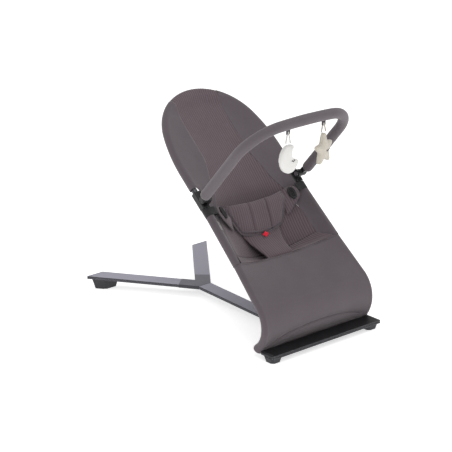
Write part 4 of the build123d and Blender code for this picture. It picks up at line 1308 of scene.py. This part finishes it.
def toy_hook(x):
    """The eye of the tab over a toy."""
    middle = seat(x, ARCH_S, ARCH_TOP - ARCH_FALL * abs(x) / ARCH_HALF)
    return middle - np.array((0, 0, TOY_EYE_DROP))


def make_ribbon_loop(name, x, drop, material):
    """A narrow ribbon that hangs as a loop from its tab, with its two ends in the toy."""
    eye = toy_hook(x)
    low = eye[2] - (drop - TOY_EYE_DROP) - 2
    line = []
    for t in np.linspace(0, 1, 12):
        line.append((x - 7.5 + 6.3 * t**1.3, low + (eye[2] - 1 - low) * t))
    for angle in np.linspace(math.pi, 0, 9)[1:-1]:
        line.append((x + 1.2 * math.cos(angle), eye[2] - 1 + 1.8 * math.sin(angle)))
    for t in np.linspace(1, 0, 12):
        line.append((x + 7.5 - 6.3 * t**1.3, low + (eye[2] - 1 - low) * t))
    points = np.array([(px, eye[1], pz) for px, pz in line])
    rows = []
    cloth = []
    reach = along(points)
    for k, point in enumerate(points):
        rows.append([point + np.array((0, w, 0)) for w in np.linspace(-2.6, 2.6, 5)])
        cloth.append([(w, reach[k]) for w in np.linspace(-2.6, 2.6, 5)])
    return thicken(grid(name, rows, cloth, material), 0.7)


# ---------------------------------------------------------------- plush toys
def outline_solid(name, outline, centre, turn, thick, material):
    """A closed slab with the outline, standing up and turned about the vertical."""
    outline = np.array(outline, float)
    side = np.array((math.cos(turn), math.sin(turn), 0))
    front = np.array((math.sin(turn), -math.cos(turn), 0))
    points = []
    for depth in (thick / 2, -thick / 2):
        points += [centre + side * u + np.array((0, 0, w)) + front * depth for u, w in outline]
    count = len(outline)
    faces = [list(range(count)), list(range(2 * count - 1, count - 1, -1))]
    for k in range(count):
        j = (k + 1) % count
        faces.append([j, k, k + count, j + count])
    piece = new_piece(name, points, faces, material)
    work = bmesh.new()
    work.from_mesh(piece.data)
    bmesh.ops.recalc_face_normals(work, faces=work.faces)
    bmesh.ops.triangulate(work, faces=work.faces)
    work.to_mesh(piece.data)
    work.free()
    return piece


def stuff(piece, voxel, pressure, cap):
    """Remeshes the piece and fills it with air as cloth, no point moving past the cap."""
    remesh = piece.modifiers.new("remesh", "REMESH")
    remesh.mode = "VOXEL"
    remesh.voxel_size = voxel * MM
    apply_to_mesh(piece)
    start = np.array([v.co for v in piece.data.vertices], float)
    cloth = piece.modifiers.new("air", "CLOTH")
    cloth.settings.use_pressure = True
    cloth.settings.uniform_pressure_force = pressure
    cloth.settings.effector_weights.gravity = 0
    cloth.settings.quality = 6
    cloth.settings.tension_stiffness = 12
    cloth.settings.compression_stiffness = 12
    cloth.settings.bending_stiffness = 1.0
    cloth.point_cache.frame_start = 1
    cloth.point_cache.frame_end = 20
    for step in range(1, 21):
        bpy.context.scene.frame_set(step)
    apply_to_mesh(piece)
    bpy.context.scene.frame_set(1)
    end = np.array([v.co for v in piece.data.vertices], float)
    move = end - start
    size = np.linalg.norm(move, axis=1)
    scale = np.minimum(1, cap * MM / np.maximum(size, 1e-9))
    end = start + move * scale[:, None]
    piece.data.vertices.foreach_set("co", end.astype(np.float32).ravel())
    piece.data.update()
    smooth = piece.modifiers.new("smooth", "SMOOTH")
    smooth.factor = 0.5
    smooth.iterations = 6
    divide = piece.modifiers.new("divide", "SUBSURF")
    divide.levels = 1
    divide.render_levels = 1
    apply_to_mesh(piece)
    piece.data.shade_smooth()
    return piece


def arc(centre, radius, start, end, count):
    angles = np.linspace(math.radians(start), math.radians(end), count)
    return [(centre[0] + radius * math.cos(a), centre[1] + radius * math.sin(a)) for a in angles]


def moon_outline():
    """A fat crescent with blunt tips, its hollow up to the right."""
    outer = []
    for angle in np.linspace(math.radians(66), math.radians(345), 44):
        outer.append((34 * math.cos(angle) - 6, 41 * math.sin(angle)))
    return outer + arc((30, 18), 26, 250, 142, 22)


def star_outline():
    """Five blunt points."""
    points = []
    for k in range(5):
        angle = 90 + 72 * k
        reach = 41 if k == 0 else 38.5
        tip = (reach * math.cos(math.radians(angle)), reach * math.sin(math.radians(angle)))
        points += arc(tip, 6.5, angle - 54, angle + 54, 9)
        notch = math.radians(angle + 36)
        points.append((25 * math.cos(notch), 25 * math.sin(notch)))
    return points


def eye_strokes(spots, size):
    """Closed eyes: a curved lid with three lashes."""
    strokes = []
    for u, w in spots:
        strokes.append(arc((u, w + size * 0.55), size, 205, 335, 9))
        for degrees in (225, 270, 315):
            lash = math.radians(degrees)
            strokes.append([
                (u + r * math.cos(lash), w + size * 0.55 + r * math.sin(lash))
                for r in (size, size * 1.45)
            ])
    return strokes


def embroider(name, toy, centre, turn, strokes, thick=0.85):
    """Thread strokes laid on the toy's front."""
    side = np.array((math.cos(turn), math.sin(turn), 0))
    front = np.array((math.sin(turn), -math.cos(turn), 0))
    surface = BVHTree.FromObject(toy, bpy.context.evaluated_depsgraph_get())
    parts = []
    for stroke in strokes:
        line = []
        for u, w in stroke:
            start = centre + side * u + np.array((0, 0, w)) + front * 60
            hit = surface.ray_cast(Vector(start * MM), Vector(-front))
            if hit[0] is not None:
                line.append(np.array(hit[0]) / MM + front * 0.5)
        if len(line) > 1:
            parts.append(tube("stroke", line, thick, dark_thread, side=front, sides=8))
    return join(name, parts)


def make_toys():
    moon_middle = np.array((-TOY_X + 10, toy_hook(-TOY_X)[1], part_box("moon_plush")[0].z / MM + 43))
    moon = outline_solid("moon_toy", moon_outline(), moon_middle, 0.0, 13, moon_fleece)
    stuff(moon, 2.6, 4, 4)
    moon_face = embroider("moon_eye", moon, moon_middle, 0.0, eye_strokes([(1, -3)], 6.2))
    star_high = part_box("star_plush")[1]
    turn = math.radians(18)
    star_middle = np.array((TOY_X, toy_hook(TOY_X)[1], star_high.z / MM - 41))
    star = outline_solid("star_toy", star_outline(), star_middle, turn, 13, star_fleece)
    stuff(star, 2.6, 4, 4)
    star_face = embroider("star_eyes", star, star_middle, turn, eye_strokes([(5, -1), (25, -1)], 5.2))
    return moon, moon_face, star, star_face


# ---------------------------------------------------------------- put it together
def place(piece, body, slot, *nodes):
    """Rides the piece on its body and stands it for its plain solids."""
    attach(piece, body)
    if nodes:
        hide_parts(*nodes)
    return piece


centre = place(make_centre_cover(), "seat", "rib_mesh", "centre_panel")
side_right = make_side_cover()
side_left = mirrored("side_cover_left", side_right)
place(side_right, "seat", "plain_fabric", "side_panel_right", "lower_sleeve_right", "upper_sleeve")
place(side_left, "seat", "plain_fabric", "side_panel_left", "lower_sleeve_left")
pocket = place(make_pocket(), "seat", "rib_mesh", "pocket_front")
apron = place(make_apron_cover(), "seat", "plain_fabric", "apron", "apron_foot")
hem = place(make_hem_tunnels(), "seat", "plain_fabric", "apron_hem")
place(make_cover_stitches(), "seat", "plain_fabric")

flap = place(make_flap(), "seat", "rib_mesh", "harness_flap")
strap = place(make_strap(), "seat", "rib_mesh", "crotch_strap")
place(make_flap_piping(), "seat", "plain_fabric")
wing_right = make_wing()
wing_left = mirrored("harness_wing_left", wing_right)
place(wing_right, "seat", "rib_mesh", "harness_wings")
place(wing_left, "seat", "rib_mesh")
toggle_right = make_toggle()
toggle_left = mirrored("harness_toggle_left", toggle_right)
place(toggle_right, "seat", "black_plastic", "toggle_right")
place(toggle_left, "seat", "black_plastic", "toggle_left")
strap_right = make_rail_strap()
strap_left = mirrored("rail_strap_left", strap_right)
place(strap_right, "seat", "webbing", "side_strap_right")
place(strap_left, "seat", "webbing", "side_strap_left")
place(make_tag(), "seat", "tag_red", "harness_tag")
place(make_care_label(), "seat", "label_fabric", "care_label")

arch = place(make_arch_sleeve(), "toy_bar", "arch_fabric", "arch_sleeve")
moon, moon_face, star, star_face = make_toys()
place(moon, "moon", "moon_fabric", "moon_plush")
place(moon_face, "moon", "moon_fabric")
place(make_ribbon_loop("moon_loop", -TOY_X, 50, ribbon_white), "moon", "ribbon_fabric", "moon_ribbon")
place(star, "star", "star_fabric", "star_plush")
place(star_face, "star", "star_fabric")
place(make_ribbon_loop("star_loop", TOY_X, 44, ribbon_sand), "star", "ribbon_fabric", "star_ribbon")
